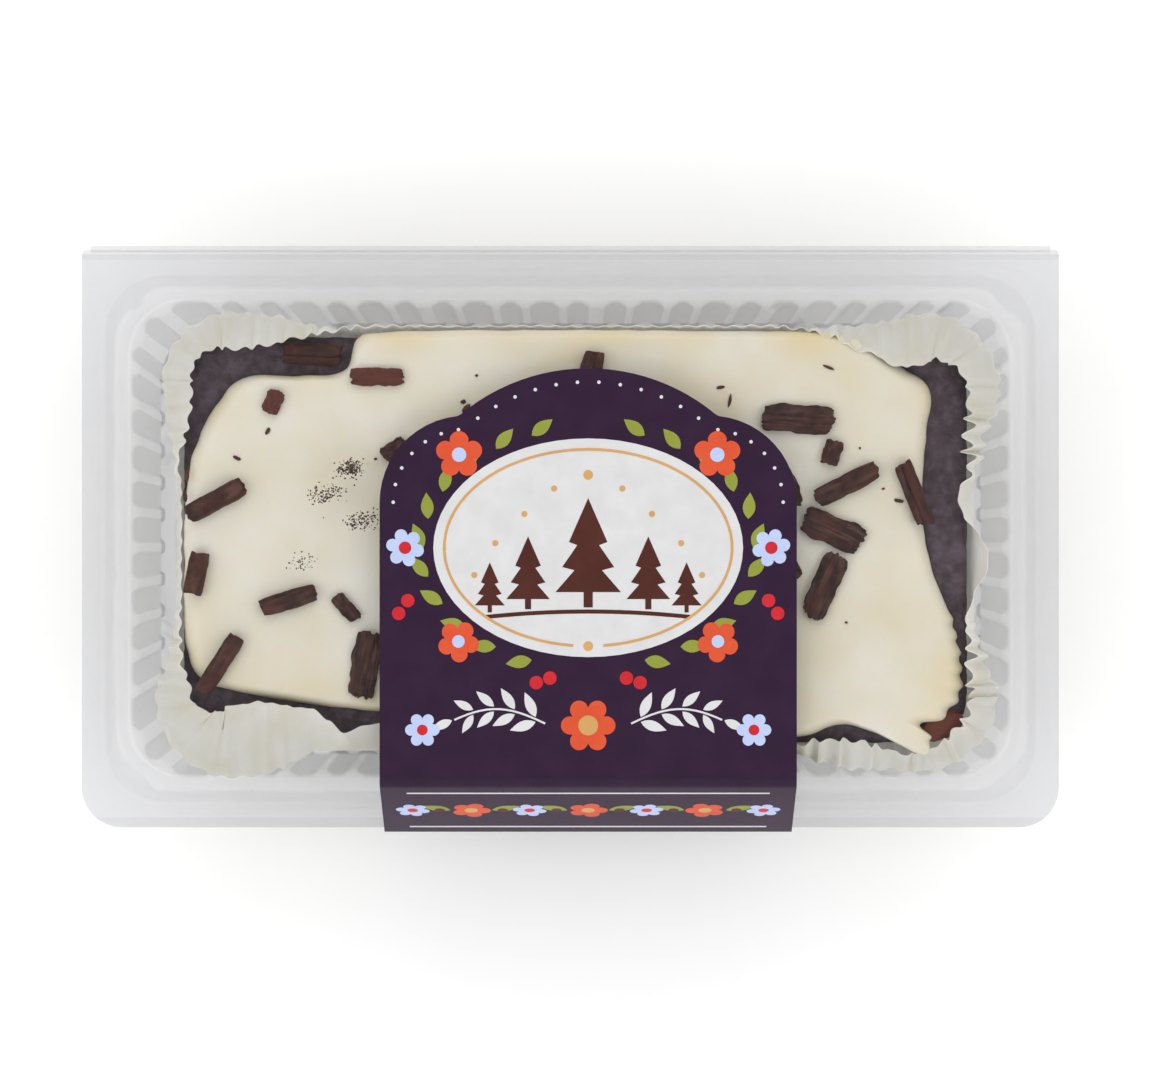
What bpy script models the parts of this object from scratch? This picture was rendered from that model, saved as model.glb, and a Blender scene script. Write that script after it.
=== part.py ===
"""A chocolate loaf cake with icing and chocolate curls, in its paper case, inside a clear hinged pack with a card band.

The origin is at the centre of the pack's footprint, on the surface it stands on. +X runs along the pack, +Y to its
hinge at the back and +Z up. All sizes below are in millimetres, and become metres when a mesh is stored.
"""

import math
import random

import bmesh
import bpy
from mathutils import Vector

MM = 0.001
GAP = 0.3

# The clear pack: one sheet of film, formed into a ribbed tray and a domed lid that meet at their flanges.
FILM = 0.45
FLANGE_HALF_LENGTH = 110.0
FLANGE_HALF_DEPTH = 65.0
FLANGE_FRONT_RADIUS = 9.0
FLANGE_BACK_RADIUS = 1.0

TRAY_HEIGHT = 34.0
MOUTH_HALF_LENGTH = 98.5
MOUTH_HALF_DEPTH = 53.3
MOUTH_RADIUS = 14.0
FLOOR_HALF_LENGTH = 95.0
FLOOR_HALF_DEPTH = 49.7
FLOOR_RADIUS = 11.0
RIB_DEPTH = 1.6
RIB_FLANK_SHARE = 0.08
RIBS_PER_LONG_SIDE = 22
RIBS_PER_SHORT_SIDE = 10
RIBS_PER_CORNER = 2
PAD_INNER_X = 56.0
PAD_DROP = 1.0

DOME_HEIGHT = 28.0
DOME_FOOT_HALF_LENGTH = 105.0
DOME_FOOT_HALF_DEPTH = 59.5
DOME_FOOT_RADIUS = 14.0
DOME_TOP_HALF_LENGTH = 98.3
DOME_TOP_HALF_DEPTH = 53.5
DOME_TOP_RADIUS = 10.0
DOME_EDGE_RADIUS = 2.4
HINGE_RADIUS = 0.75

# The cake. It is baked in its paper case, so the case follows its sides.
CAKE_CENTRE = Vector((1.2, -0.3))
CAKE_BASE_HALF_LENGTH = 83.0
CAKE_BASE_HALF_DEPTH = 41.5
CAKE_BASE_RADIUS = 9.0
CAKE_TOP_HALF_LENGTH = 87.5
CAKE_TOP_HALF_DEPTH = 45.5
CAKE_TOP_RADIUS = 12.0
CAKE_TOP_Z = 52.0
CAKE_EDGE_RADIUS = 2.5

PAPER = 0.35
PAPER_RIM_Z = 52.5
PLEATS_ALONG_LONG_SIDE = 7
PLEATS_ALONG_SHORT_SIDE = 4
PLEATS_PER_CORNER = 4
PLEAT_PITCH = 4.2
PLEAT_DEPTH_AT_BASE = 0.8
PLEAT_DEPTH_AT_RIM = 3.4

# The icing lies on the cake's flat top and stops short of its edge at the back left, the right and the front.
ICING_THICKNESS = 4.0
ICING_EDGE_POINTS = (
    (86.5, -32.0), (85.0, -37.5), (79.5, -43.0), (71.0, -43.5), (60.0, -40.6), (50.0, -43.6),
    (30.0, -42.5), (5.0, -41.0), (-20.0, -39.5), (-45.0, -38.4), (-64.0, -36.8), (-78.0, -34.4),
    (-85.0, -27.0), (-85.6, -8.0), (-85.0, 10.0), (-81.8, 23.5), (-73.0, 35.2), (-60.0, 36.0),
    (-50.0, 37.2), (-46.5, 43.6), (-33.0, 45.0), (0.0, 45.0), (35.0, 44.8), (61.0, 44.4),
    (71.5, 39.0), (79.5, 33.0), (78.8, 22.0), (78.0, 6.0), (80.5, -8.0), (85.0, -19.0),
)
ICING_POINTS_PER_SPAN = 3

# Each chocolate piece: its form, its middle, its length and width, and its turn from +X in degrees.
CHOCOLATE_PIECES = (
    ("roll", -78.3, 8.6, 12.0, 5.4, 28),
    ("roll", -82.6, -7.7, 8.0, 4.8, 80),
    ("roll", -77.4, -27.6, 12.8, 4.6, 57),
    ("roll", -62.2, -13.4, 12.2, 4.6, 17),
    ("slab", -49.4, -15.2, 6.6, 2.8, -47),
    ("slab", -45.2, -27.8, 13.6, 5.4, 80),
    ("slab", -42.6, 35.7, 11.0, 3.4, 1),
    ("roll", -57.2, 41.0, 12.6, 5.4, -3),
    ("roll", 4.2, 36.6, 9.0, 5.2, 75),
    ("slab", -65.5, 30.2, 4.6, 3.2, 70),
    ("slab", 50.3, 26.5, 14.2, 5.4, -3),
    ("slab", 57.8, 19.0, 5.0, 3.4, 75),
    ("roll", 61.0, 12.2, 14.0, 5.2, 27),
    ("slab", 58.0, 1.8, 13.2, 5.8, -24),
    ("slab", 47.6, 11.4, 9.0, 4.4, -64),
    ("slab", 56.2, -10.4, 14.4, 5.2, 66),
    ("slab", 47.4, -5.2, 8.4, 4.4, -60),
    ("roll", 76.2, 10.0, 13.2, 4.6, 112),
    ("slab", -38.4, 19.4, 5.0, 3.8, 35),
)
HIDDEN_PIECE_COUNT = 6
HIDDEN_PIECE_AREA = (-30.0, 38.0, -30.0, 26.0)
HIDDEN_PIECE_SPACING = 13.0
HIDDEN_PIECE_SEED = 11
CHOCOLATE_THICKNESS = 1.2
ROLL_HEIGHT = 3.3

# The card band: a top panel with an arched end, bent over the flange and stuck under the tray.
CARD = 0.35
CARD_CENTRE_X = 4.0
CARD_HALF_WIDTH = 45.8
CARD_ARCH_Y = 37.4
CARD_SHOULDER_Y = 8.0
CARD_SHOULDER_RADIUS = 19.0
CARD_CROWN_HALF_WIDTH = 28.0
CARD_UNDER_END_Y = -6.0


def rounded_point(half_x, half_y, front_radius, back_radius, segment, share, out=0.0):
    """A point on a rounded rectangle, run anticlockwise from the front end of its right side.

    Segments 0, 2, 4 and 6 are the right, back, left and front sides, and 1, 3, 5 and 7 the corners that follow them.
    share runs from 0 to 1 along the segment, and out moves the point outwards.
    """
    centres = {
        1: (half_x - back_radius, half_y - back_radius, back_radius),
        3: (back_radius - half_x, half_y - back_radius, back_radius),
        5: (front_radius - half_x, front_radius - half_y, front_radius),
        7: (half_x - front_radius, front_radius - half_y, front_radius),
    }
    if segment in centres:
        x, y, radius = centres[segment]
        angle = math.radians(45 * (segment - 1) + 90 * share)
        normal = Vector((math.cos(angle), math.sin(angle)))
        return Vector((x, y)) + normal * (radius + out)
    ends = {
        0: ((half_x, front_radius - half_y), (half_x, half_y - back_radius), (1, 0)),
        2: ((half_x - back_radius, half_y), (back_radius - half_x, half_y), (0, 1)),
        4: ((-half_x, half_y - back_radius), (-half_x, front_radius - half_y), (-1, 0)),
        6: ((front_radius - half_x, -half_y), (half_x - front_radius, -half_y), (0, -1)),
    }
    start, end, normal = (Vector(v) for v in ends[segment])
    return start.lerp(end, share) + normal * out


def plain_stations(corner_steps, side_steps=1):
    """(segment, share) pairs all the way round, with corner_steps faces in each corner."""
    stations = []
    for segment in range(8):
        steps = corner_steps if segment % 2 else side_steps
        stations += [(segment, step / steps) for step in range(steps)]
    return stations


def plain_ring(half_x, half_y, radius, z, stations, front_radius=None, centre=Vector((0, 0))):
    """A rounded rectangle at height z, as 3D points."""
    front = radius if front_radius is None else front_radius
    points = [rounded_point(half_x, half_y, front, radius, s, share) + centre for s, share in stations]
    return [Vector((p.x, p.y, z)) for p in points]


def add_ring(mesh, points):
    return [mesh.verts.new(point) for point in points]


def loft(mesh, lower, upper):
    """Quads between two rings that run anticlockwise, facing outwards when upper is the higher one."""
    count = len(lower)
    for i in range(count):
        after = (i + 1) % count
        mesh.faces.new((lower[i], lower[after], upper[after], upper[i]))


def ring_edges(mesh, ring):
    """The edges round a ring, made where they aren't there yet."""
    found = []
    for i, vert in enumerate(ring):
        after = ring[(i + 1) % len(ring)]
        found.append(mesh.edges.get((vert, after)) or mesh.edges.new((vert, after)))
    return found


def fill_between(mesh, outer, inner):
    """Triangles across the flat face between two rings of any number of points."""
    bmesh.ops.triangle_fill(mesh, edges=ring_edges(mesh, outer) + ring_edges(mesh, inner))


def material(name, colour, roughness, alpha=1.0):
    made = bpy.data.materials.new(name)
    made.use_nodes = True
    shader = made.node_tree.nodes["Principled BSDF"]
    shader.inputs["Base Color"].default_value = (*colour, 1.0)
    shader.inputs["Roughness"].default_value = roughness
    shader.inputs["Alpha"].default_value = alpha
    return made


def store(mesh, name, finish, recalculate=True):
    """The finished mesh as an object in metres."""
    if recalculate:
        bmesh.ops.recalc_face_normals(mesh, faces=mesh.faces)
    bmesh.ops.scale(mesh, vec=(MM, MM, MM), verts=mesh.verts)
    data = bpy.data.meshes.new(name)
    mesh.to_mesh(data)
    mesh.free()
    data.materials.append(finish)
    made = bpy.data.objects.new(name, data)
    bpy.context.scene.collection.objects.link(made)
    return made


def give_thickness(obj, thickness, side, even=True):
    """Turns a single sheet into a closed wall. side is 1 to thicken along the normals, and -1 against them."""
    wall = obj.modifiers.new("wall", "SOLIDIFY")
    wall.thickness = thickness * MM
    wall.offset = side
    wall.use_even_offset = even
    return obj


def point_normals_up(mesh, face_finder):
    """Turns all faces of an open sheet round if the one that face_finder picks doesn't point up."""
    bmesh.ops.recalc_face_normals(mesh, faces=mesh.faces)
    mesh.faces.ensure_lookup_table()
    if max(mesh.faces, key=face_finder).normal.z < 0:
        bmesh.ops.reverse_faces(mesh, faces=mesh.faces)


def rib_stations():
    """(segment, share, depth) round the tray's wall, four points to a rib, with depth 1 in the grooves."""
    counts = [RIBS_PER_SHORT_SIDE, RIBS_PER_CORNER, RIBS_PER_LONG_SIDE, RIBS_PER_CORNER] * 2
    flank = RIB_FLANK_SHARE
    marks = ((flank, 0), (0.5 - flank, 0), (0.5 + flank, 1), (1 - flank, 1))
    return [
        (segment, (rib + mark) / count, depth)
        for segment, count in enumerate(counts)
        for rib in range(count)
        for mark, depth in marks
    ]


def ribbed_ring(half_x, half_y, radius, z):
    points = []
    for segment, share, depth in rib_stations():
        p = rounded_point(half_x, half_y, radius, radius, segment, share, -RIB_DEPTH * depth)
        points.append(Vector((p.x, p.y, z)))
    return points


def build_tray(finish):
    """The tray's outer face, from the flange down the ribbed walls to a floor raised between two wide pads."""
    mesh = bmesh.new()
    under_flange = TRAY_HEIGHT - FILM
    back_trim = HINGE_RADIUS + 0.15
    flange = plain_ring(
        FLANGE_HALF_LENGTH, FLANGE_HALF_DEPTH, FLANGE_BACK_RADIUS, under_flange,
        plain_stations(6), front_radius=FLANGE_FRONT_RADIUS,
    )
    for point in flange:
        point.y = min(point.y, FLANGE_HALF_DEPTH - back_trim)
    outer = add_ring(mesh, flange)
    mouth = add_ring(mesh, ribbed_ring(MOUTH_HALF_LENGTH, MOUTH_HALF_DEPTH, MOUTH_RADIUS, under_flange))
    foot_points = ribbed_ring(FLOOR_HALF_LENGTH, FLOOR_HALF_DEPTH, FLOOR_RADIUS, 0.0)
    for point in foot_points:
        if abs(point.x) < PAD_INNER_X:
            point.z = PAD_DROP
    foot = add_ring(mesh, foot_points)
    fill_between(mesh, outer, mouth)
    loft(mesh, foot, mouth)
    raised = [v for v in foot if abs(v.co.x) < PAD_INNER_X]
    pads = [[v for v in foot if v.co.x * side > PAD_INNER_X] for side in (-1, 1)]
    split = next(i for i, v in enumerate(raised) if v.co.y < 0)
    back, front = raised[:split], raised[split:]
    mesh.faces.new(raised)
    # The right pad's ring runs through the list's start, so it is put in order from its front end.
    right = sorted(range(len(foot)), key=lambda i: (foot[i].co.y > 0, i))
    right = [foot[i] for i in right if foot[i].co.x > PAD_INNER_X]
    mesh.faces.new(right)
    left = pads[0]
    mesh.faces.new(left)
    mesh.faces.new((right[-1], back[0], front[-1], right[0]))
    mesh.faces.new((back[-1], left[0], left[-1], front[0]))
    point_normals_up(mesh, lambda face: face.calc_center_median().z + face.calc_area() * MM)
    return give_thickness(store(mesh, "tray", finish, recalculate=False), FILM, 1)


def build_lid(finish):
    """The lid's outer face: a flange, a sloping wall, a rounded edge and a flat top, with the hinge roll behind."""
    mesh = bmesh.new()
    base = TRAY_HEIGHT + GAP + FILM
    top = TRAY_HEIGHT + GAP + DOME_HEIGHT
    edge = DOME_EDGE_RADIUS
    corner = plain_stations(7, 2)
    flange = add_ring(mesh, plain_ring(
        FLANGE_HALF_LENGTH, FLANGE_HALF_DEPTH, FLANGE_BACK_RADIUS, base,
        plain_stations(6), front_radius=FLANGE_FRONT_RADIUS,
    ))
    rings = [plain_ring(DOME_FOOT_HALF_LENGTH, DOME_FOOT_HALF_DEPTH, DOME_FOOT_RADIUS, base, corner)]
    for turn in (0, 30, 60, 90):
        inward = edge * (1 - math.cos(math.radians(turn))) - 0.4 * edge
        height = top - edge * (1 - math.sin(math.radians(turn)))
        rings.append(plain_ring(
            DOME_TOP_HALF_LENGTH - inward, DOME_TOP_HALF_DEPTH - inward, DOME_TOP_RADIUS - inward, height, corner,
        ))
    rings = [add_ring(mesh, ring) for ring in rings]
    fill_between(mesh, flange, rings[0])
    for lower, upper in zip(rings, rings[1:]):
        loft(mesh, lower, upper)
    mesh.faces.new(rings[-1])
    point_normals_up(mesh, lambda face: face.calc_center_median().z)
    lid = give_thickness(store(mesh, "lid", finish, recalculate=False), FILM, -1)
    bpy.ops.mesh.primitive_cylinder_add(
        vertices=10, radius=HINGE_RADIUS * MM, depth=(2 * FLANGE_HALF_LENGTH - 4) * MM,
        location=(0, (FLANGE_HALF_DEPTH + 0.2) * MM, (base - 0.55 * HINGE_RADIUS) * MM), rotation=(0, math.pi / 2, 0),
    )
    roll = bpy.context.active_object
    roll.name = "hinge_roll"
    roll.hide_render = True
    roll.display_type = "WIRE"
    join = lid.modifiers.new("hinge", "BOOLEAN")
    join.operation = "UNION"
    join.object = roll
    return lid


def build_cake(finish):
    """The sponge: tapered sides, a rounded shoulder and a flat top."""
    mesh = bmesh.new()
    stations = plain_stations(6, 4)
    base_z = PAD_DROP + FILM + GAP + PAPER + GAP
    rings = [
        plain_ring(CAKE_BASE_HALF_LENGTH, CAKE_BASE_HALF_DEPTH, CAKE_BASE_RADIUS, base_z, stations, centre=CAKE_CENTRE)
    ]
    for turn in (0, 45, 90):
        inward = CAKE_EDGE_RADIUS * (1 - math.cos(math.radians(turn)))
        height = CAKE_TOP_Z - CAKE_EDGE_RADIUS * (1 - math.sin(math.radians(turn)))
        rings.append(plain_ring(
            CAKE_TOP_HALF_LENGTH - inward, CAKE_TOP_HALF_DEPTH - inward, CAKE_TOP_RADIUS - inward, height,
            stations, centre=CAKE_CENTRE,
        ))
    rings = [add_ring(mesh, ring) for ring in rings]
    for lower, upper in zip(rings, rings[1:]):
        loft(mesh, lower, upper)
    mesh.faces.new(rings[0])
    mesh.faces.new(rings[-1])
    return store(mesh, "cake", finish)


def pleat_stations():
    """(segment, share, pleat) round the paper case: folded near the corners, smooth along the middle of each side."""
    stations = []
    for segment in range(8):
        if segment % 2:
            folds = PLEATS_PER_CORNER
            stations += [(segment, (fold + half) / folds, half > 0) for fold in range(folds) for half in (0, 0.5)]
            continue
        along_y = segment in (0, 4)
        folds = PLEATS_ALONG_SHORT_SIDE if along_y else PLEATS_ALONG_LONG_SIDE
        half_side = (CAKE_TOP_HALF_DEPTH if along_y else CAKE_TOP_HALF_LENGTH) - CAKE_TOP_RADIUS
        pitch_share = PLEAT_PITCH / (2 * half_side)
        folded = folds * pitch_share
        near = [(step * pitch_share / 2, step % 2 == 1) for step in range(2 * folds)]
        plain = [(folded + (1 - 2 * folded) * step / 6, False) for step in range(7)]
        far = [(1 - share, pleat) for share, pleat in reversed(near) if share > 0]
        stations += [(segment, share, pleat) for share, pleat in near + plain + far]
    return stations


def side_wave(segment, share):
    """How far the rim of the paper bows in or out along the smooth middle of a side."""
    heights = {0: 2.2, 2: 0.5, 4: 0.6, 6: 1.8}
    return heights.get(segment, 0.0) * (1 + math.sin(2.5 * math.tau * share + 0.8 * segment))


def paper_ring(height_share):
    """One ring of the paper case, at a share of its height. Folds stand out further towards the rim."""
    half_x = CAKE_BASE_HALF_LENGTH + (CAKE_TOP_HALF_LENGTH - CAKE_BASE_HALF_LENGTH) * height_share + GAP
    half_y = CAKE_BASE_HALF_DEPTH + (CAKE_TOP_HALF_DEPTH - CAKE_BASE_HALF_DEPTH) * height_share + GAP
    radius = CAKE_BASE_RADIUS + (CAKE_TOP_RADIUS - CAKE_BASE_RADIUS) * height_share + GAP
    depth = PLEAT_DEPTH_AT_BASE + (PLEAT_DEPTH_AT_RIM - PLEAT_DEPTH_AT_BASE) * height_share
    base_z = PAD_DROP + FILM + GAP + PAPER
    points = []
    for segment, share, pleat in pleat_stations():
        smooth = 0.0
        if segment % 2 == 0:
            smooth = side_wave(segment, share) * math.sin(math.pi * share) ** 2 * max(0.0, 2 * height_share - 1)
        p = rounded_point(half_x, half_y, radius, radius, segment, share, depth * pleat + smooth) + CAKE_CENTRE
        points.append(Vector((p.x, p.y, base_z + (PAPER_RIM_Z - base_z) * height_share)))
    return points


def build_paper_case(finish):
    """The paper case's inner face, thickened outwards."""
    mesh = bmesh.new()
    rings = [add_ring(mesh, paper_ring(share)) for share in (0.0, 0.55, 1.0)]
    for lower, upper in zip(rings, rings[1:]):
        loft(mesh, lower, upper)
    mesh.faces.new(rings[0])
    bmesh.ops.recalc_face_normals(mesh, faces=mesh.faces)
    floor = min(mesh.faces, key=lambda face: face.calc_center_median().z)
    if floor.normal.z > 0:
        bmesh.ops.reverse_faces(mesh, faces=mesh.faces)
    return give_thickness(store(mesh, "paper_case", finish, recalculate=False), PAPER, 1, even=False)


def through_points(points, per_span):
    """A closed smooth curve through the points, as a Catmull-Rom spline."""
    curve = []
    count = len(points)
    for i in range(count):
        a, b, c, d = (Vector(points[(i + k) % count]) for k in (-1, 0, 1, 2))
        for step in range(per_span):
            t = step / per_span
            curve.append(0.5 * (2 * b + (c - a) * t + (2 * a - 5 * b + 4 * c - d) * t * t
                                + (3 * b - a - 3 * c + d) * t ** 3))
    return curve


def icing_surface(x, y):
    """The height of the icing's top away from its edge, with slow waves left by the palette knife."""
    waves = 0.35 * math.sin(x / 17 + 0.6) * math.cos(y / 14) + 0.25 * math.sin(x / 9 - y / 12)
    fall_to_right = 0.9 * max(0.0, (x - 55) / 30) ** 2
    return CAKE_TOP_Z + GAP + ICING_THICKNESS + waves - fall_to_right


def build_icing(finish):
    """The icing: a flat underside, a rounded edge and a gently waved top, from rings that shrink to its middle."""
    mesh = bmesh.new()
    outline = through_points(ICING_EDGE_POINTS, ICING_POINTS_PER_SPAN)
    base_z = CAKE_TOP_Z + GAP
    edge = ((0.985, 0.0), (1.0, 0.3), (0.985, 0.72), (0.955, 0.93))
    rings = []
    for scale, share in edge:
        ring = []
        for p in outline:
            x, y = p * scale
            ring.append(Vector((x, y, base_z + (icing_surface(x, y) - base_z) * share)))
        rings.append(ring)
    for scale in (0.84, 0.63, 0.4, 0.18):
        rings.append([Vector((*(p * scale), icing_surface(*(p * scale)))) for p in outline])
    rings = [add_ring(mesh, ring) for ring in rings]
    for lower, upper in zip(rings, rings[1:]):
        loft(mesh, lower, upper)
    mesh.faces.new(rings[0])
    middle = mesh.verts.new((0, 0, icing_surface(0, 0)))
    last = rings[-1]
    for i, vert in enumerate(last):
        mesh.faces.new((vert, last[(i + 1) % len(last)], middle))
    return store(mesh, "icing", finish)


def roll_section(width, height):
    """The end view of a rolled shaving: a strip wound a little over one turn round a hollow."""
    steps = 9
    outer, inner = [], []
    for i in range(steps + 1):
        angle = math.radians(-60 + 300 * i / steps)
        grow = 1 - 0.1 * i / steps
        outer.append(Vector((0.5 * width * grow * math.cos(angle), 0.5 * height * grow * math.sin(angle))))
        inner.append(outer[-1] * (1 - 2 * CHOCOLATE_THICKNESS / (width + height) * 2))
    return outer + inner[::-1]


def slab_section(width):
    """The end view of a flat shaving, bowed up a little along its middle."""
    steps = 4
    lower, upper = [], []
    for i in range(steps + 1):
        share = 2 * i / steps - 1
        bow = 0.6 * (1 - share * share)
        lower.append(Vector((0.5 * width * share, bow)))
        upper.append(Vector((0.48 * width * share, bow + CHOCOLATE_THICKNESS)))
    return lower + upper[::-1]


def on_icing(x, y):
    """True where the icing covers the cake, by counting the outline's crossings to the right of the point."""
    outline = through_points(ICING_EDGE_POINTS, ICING_POINTS_PER_SPAN)
    inside = False
    for i, a in enumerate(outline):
        b = outline[(i + 1) % len(outline)]
        if (a.y > y) != (b.y > y) and x < a.x + (y - a.y) / (b.y - a.y) * (b.x - a.x):
            inside = not inside
    return inside


def piece_height(x, y, length, width, turn):
    """The height that a piece rests at: just above the highest icing or cake under it."""
    along = Vector((math.cos(turn), math.sin(turn)))
    across = Vector((-along.y, along.x))
    highest = CAKE_TOP_Z
    for u in (-0.5, 0.0, 0.5):
        for v in (-0.5, 0.0, 0.5):
            p = Vector((x, y)) + along * (u * length) + across * (v * width)
            if on_icing(p.x, p.y):
                highest = max(highest, icing_surface(p.x, p.y))
    return highest + GAP


def hidden_pieces():
    """Pieces on the icing under the card, placed by a seeded rule so that they keep clear of each other."""
    draw = random.Random(HIDDEN_PIECE_SEED)
    low_x, high_x, low_y, high_y = HIDDEN_PIECE_AREA
    taken = [Vector((x, y)) for _, x, y, *_ in CHOCOLATE_PIECES]
    found = []
    while len(found) < HIDDEN_PIECE_COUNT:
        place = Vector((draw.uniform(low_x, high_x), draw.uniform(low_y, high_y)))
        size = (draw.uniform(10, 14), draw.uniform(4.6, 5.6))
        turn = draw.uniform(-90, 90)
        if min((place - other).length for other in taken) > HIDDEN_PIECE_SPACING:
            taken.append(place)
            form = "roll" if len(found) % 2 else "slab"
            found.append((form, place.x, place.y, *size, turn))
    return found


def build_chocolate(number, form, x, y, length, width, degrees, finish):
    """One shaving: its end view drawn out to its length, with slanting ends, laid on what is under it."""
    mesh = bmesh.new()
    turn = math.radians(degrees)
    section = roll_section(width, ROLL_HEIGHT) if form == "roll" else slab_section(width)
    low = min(p.y for p in section)
    height = piece_height(x, y, length, width, turn)
    slant = 0.18 * math.sin(2.4 * number)
    rings = []
    for side in (-0.5, 0.5):
        ring = []
        for p in section:
            along = side * length + slant * p.x
            px = x + along * math.cos(turn) - p.x * math.sin(turn)
            py = y + along * math.sin(turn) + p.x * math.cos(turn)
            ring.append(Vector((px, py, height + p.y - low)))
        rings.append(add_ring(mesh, ring))
    loft(mesh, *rings)
    mesh.faces.new(rings[0])
    mesh.faces.new(rings[1])
    return store(mesh, f"chocolate_{number:02d}", finish)


def arc(centre, radius, start, end, steps):
    """Points along an arc, angles in degrees."""
    angles = [math.radians(start + (end - start) * i / steps) for i in range(steps + 1)]
    return [Vector((centre[0] + radius * math.cos(a), centre[1] + radius * math.sin(a))) for a in angles]


def card_arch():
    """The card's arched end, from its right side over the top to its left: a shoulder, the crown and a shoulder."""
    shoulder_x = CARD_HALF_WIDTH - CARD_SHOULDER_RADIUS
    shoulder = arc((shoulder_x, CARD_SHOULDER_Y), CARD_SHOULDER_RADIUS, 0, 84, 7)
    crown_foot_y = shoulder[-1].y + 0.4
    rise = CARD_ARCH_Y - crown_foot_y
    radius = (CARD_CROWN_HALF_WIDTH ** 2 + rise ** 2) / (2 * rise)
    half_angle = math.degrees(math.asin(CARD_CROWN_HALF_WIDTH / radius))
    crown = arc((0, CARD_ARCH_Y - radius), radius, 90 - half_angle, 90 + half_angle, 14)
    left = [Vector((-p.x, p.y)) for p in reversed(shoulder)]
    return [p + Vector((CARD_CENTRE_X, 0)) for p in shoulder + crown + left]


def card_path():
    """The inner face of the card in side view, from its fold at the lid's front edge to its end under the tray."""
    lid_top = TRAY_HEIGHT + GAP + DOME_HEIGHT + GAP
    over_flange = -FLANGE_HALF_DEPTH - 2 * GAP
    return [
        (-DOME_TOP_HALF_DEPTH - 0.5, lid_top),
        (over_flange, TRAY_HEIGHT + GAP + FILM + 0.5),
        (over_flange - 0.2, TRAY_HEIGHT),
        (over_flange, TRAY_HEIGHT - FILM - 0.5),
        (-FLOOR_HALF_DEPTH - 0.9, PAD_DROP - GAP + 0.3),
        (-FLOOR_HALF_DEPTH - 0.1, PAD_DROP - GAP),
        (CARD_UNDER_END_Y, PAD_DROP - GAP),
    ]


def build_card(finish):
    """The card band's inner face, thickened outwards."""
    mesh = bmesh.new()
    left, right = CARD_CENTRE_X - CARD_HALF_WIDTH, CARD_CENTRE_X + CARD_HALF_WIDTH
    path = card_path()
    folds = [(mesh.verts.new((left, y, z)), mesh.verts.new((right, y, z))) for y, z in path]
    arch = [mesh.verts.new((p.x, p.y, path[0][1])) for p in card_arch()]
    mesh.faces.new([folds[0][0], folds[0][1], *arch])
    for (a, b), (c, d) in zip(folds, folds[1:]):
        mesh.faces.new((a, c, d, b))
    point_normals_up(mesh, lambda face: face.calc_center_median().z)
    return give_thickness(store(mesh, "card", finish, recalculate=False), CARD, 1)


def main():
    for obj in list(bpy.data.objects):
        bpy.data.objects.remove(obj)
    clear = material("clear_film", (0.86, 0.88, 0.9), 0.08, alpha=0.3)
    sponge = material("chocolate_sponge", (0.055, 0.027, 0.018), 0.85)
    icing = material("icing", (0.86, 0.81, 0.66), 0.5)
    chocolate = material("dark_chocolate", (0.05, 0.026, 0.02), 0.45)
    paper = material("baking_paper", (0.8, 0.79, 0.72), 0.8)
    card = material("printed_card", (0.05, 0.022, 0.06), 0.5)
    build_tray(clear)
    build_lid(clear)
    build_cake(sponge)
    build_paper_case(paper)
    build_icing(icing)
    build_card(card)
    for number, piece in enumerate([*CHOCOLATE_PIECES, *hidden_pieces()], start=1):
        build_chocolate(number, *piece, chocolate)


main()
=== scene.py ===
# %% [markdown]
# # A chocolate loaf cake in its clear pack
#
# The real object is a loaf of dark sponge under pale icing, with dark chocolate curls on it. It was baked in a pleated
# paper case, and it is sold in a clear pack formed from one sheet of film: a ribbed tray, and a domed lid that is
# hinged to it at the back. A printed card band is folded over the lid's middle and front and stuck under the tray.
#
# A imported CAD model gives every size. This script loads it as a fixed frame and builds the looks round it: each CAD
# solid is replaced by a finer piece in the same place. +X runs along the pack, +Y to the hinge and +Z up.

# %% Load the frame
import math
import random

import bmesh
import bpy
from mathutils import Matrix, Vector, noise


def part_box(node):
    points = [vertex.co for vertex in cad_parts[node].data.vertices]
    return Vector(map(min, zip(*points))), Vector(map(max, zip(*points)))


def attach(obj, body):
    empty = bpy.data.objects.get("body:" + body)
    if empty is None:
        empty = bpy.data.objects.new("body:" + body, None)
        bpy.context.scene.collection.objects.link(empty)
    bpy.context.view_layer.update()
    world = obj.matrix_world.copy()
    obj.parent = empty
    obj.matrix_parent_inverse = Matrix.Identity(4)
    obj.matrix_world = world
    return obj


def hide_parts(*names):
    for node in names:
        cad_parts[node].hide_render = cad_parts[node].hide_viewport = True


MM = 0.001
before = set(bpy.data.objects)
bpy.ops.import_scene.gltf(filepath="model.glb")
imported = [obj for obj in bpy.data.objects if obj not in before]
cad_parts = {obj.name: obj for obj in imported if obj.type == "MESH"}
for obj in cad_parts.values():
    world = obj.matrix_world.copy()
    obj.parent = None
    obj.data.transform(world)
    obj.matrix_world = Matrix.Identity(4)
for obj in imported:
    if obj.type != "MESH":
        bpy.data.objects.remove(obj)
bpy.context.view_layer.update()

# %% [markdown]
# ## Working with operators
#
# Each piece starts as one of Blender's primitives and is shaped by the operators that a modeller would click on.
# An operator works on whatever is selected, so two small helpers come first: one adds a primitive with nothing else
# selected, and one picks out points, edges or faces by a rule, such as "the faces that look down".

# %% Helpers for adding, selecting and finishing
MERGE_DISTANCE = 0.01 * MM


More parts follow.
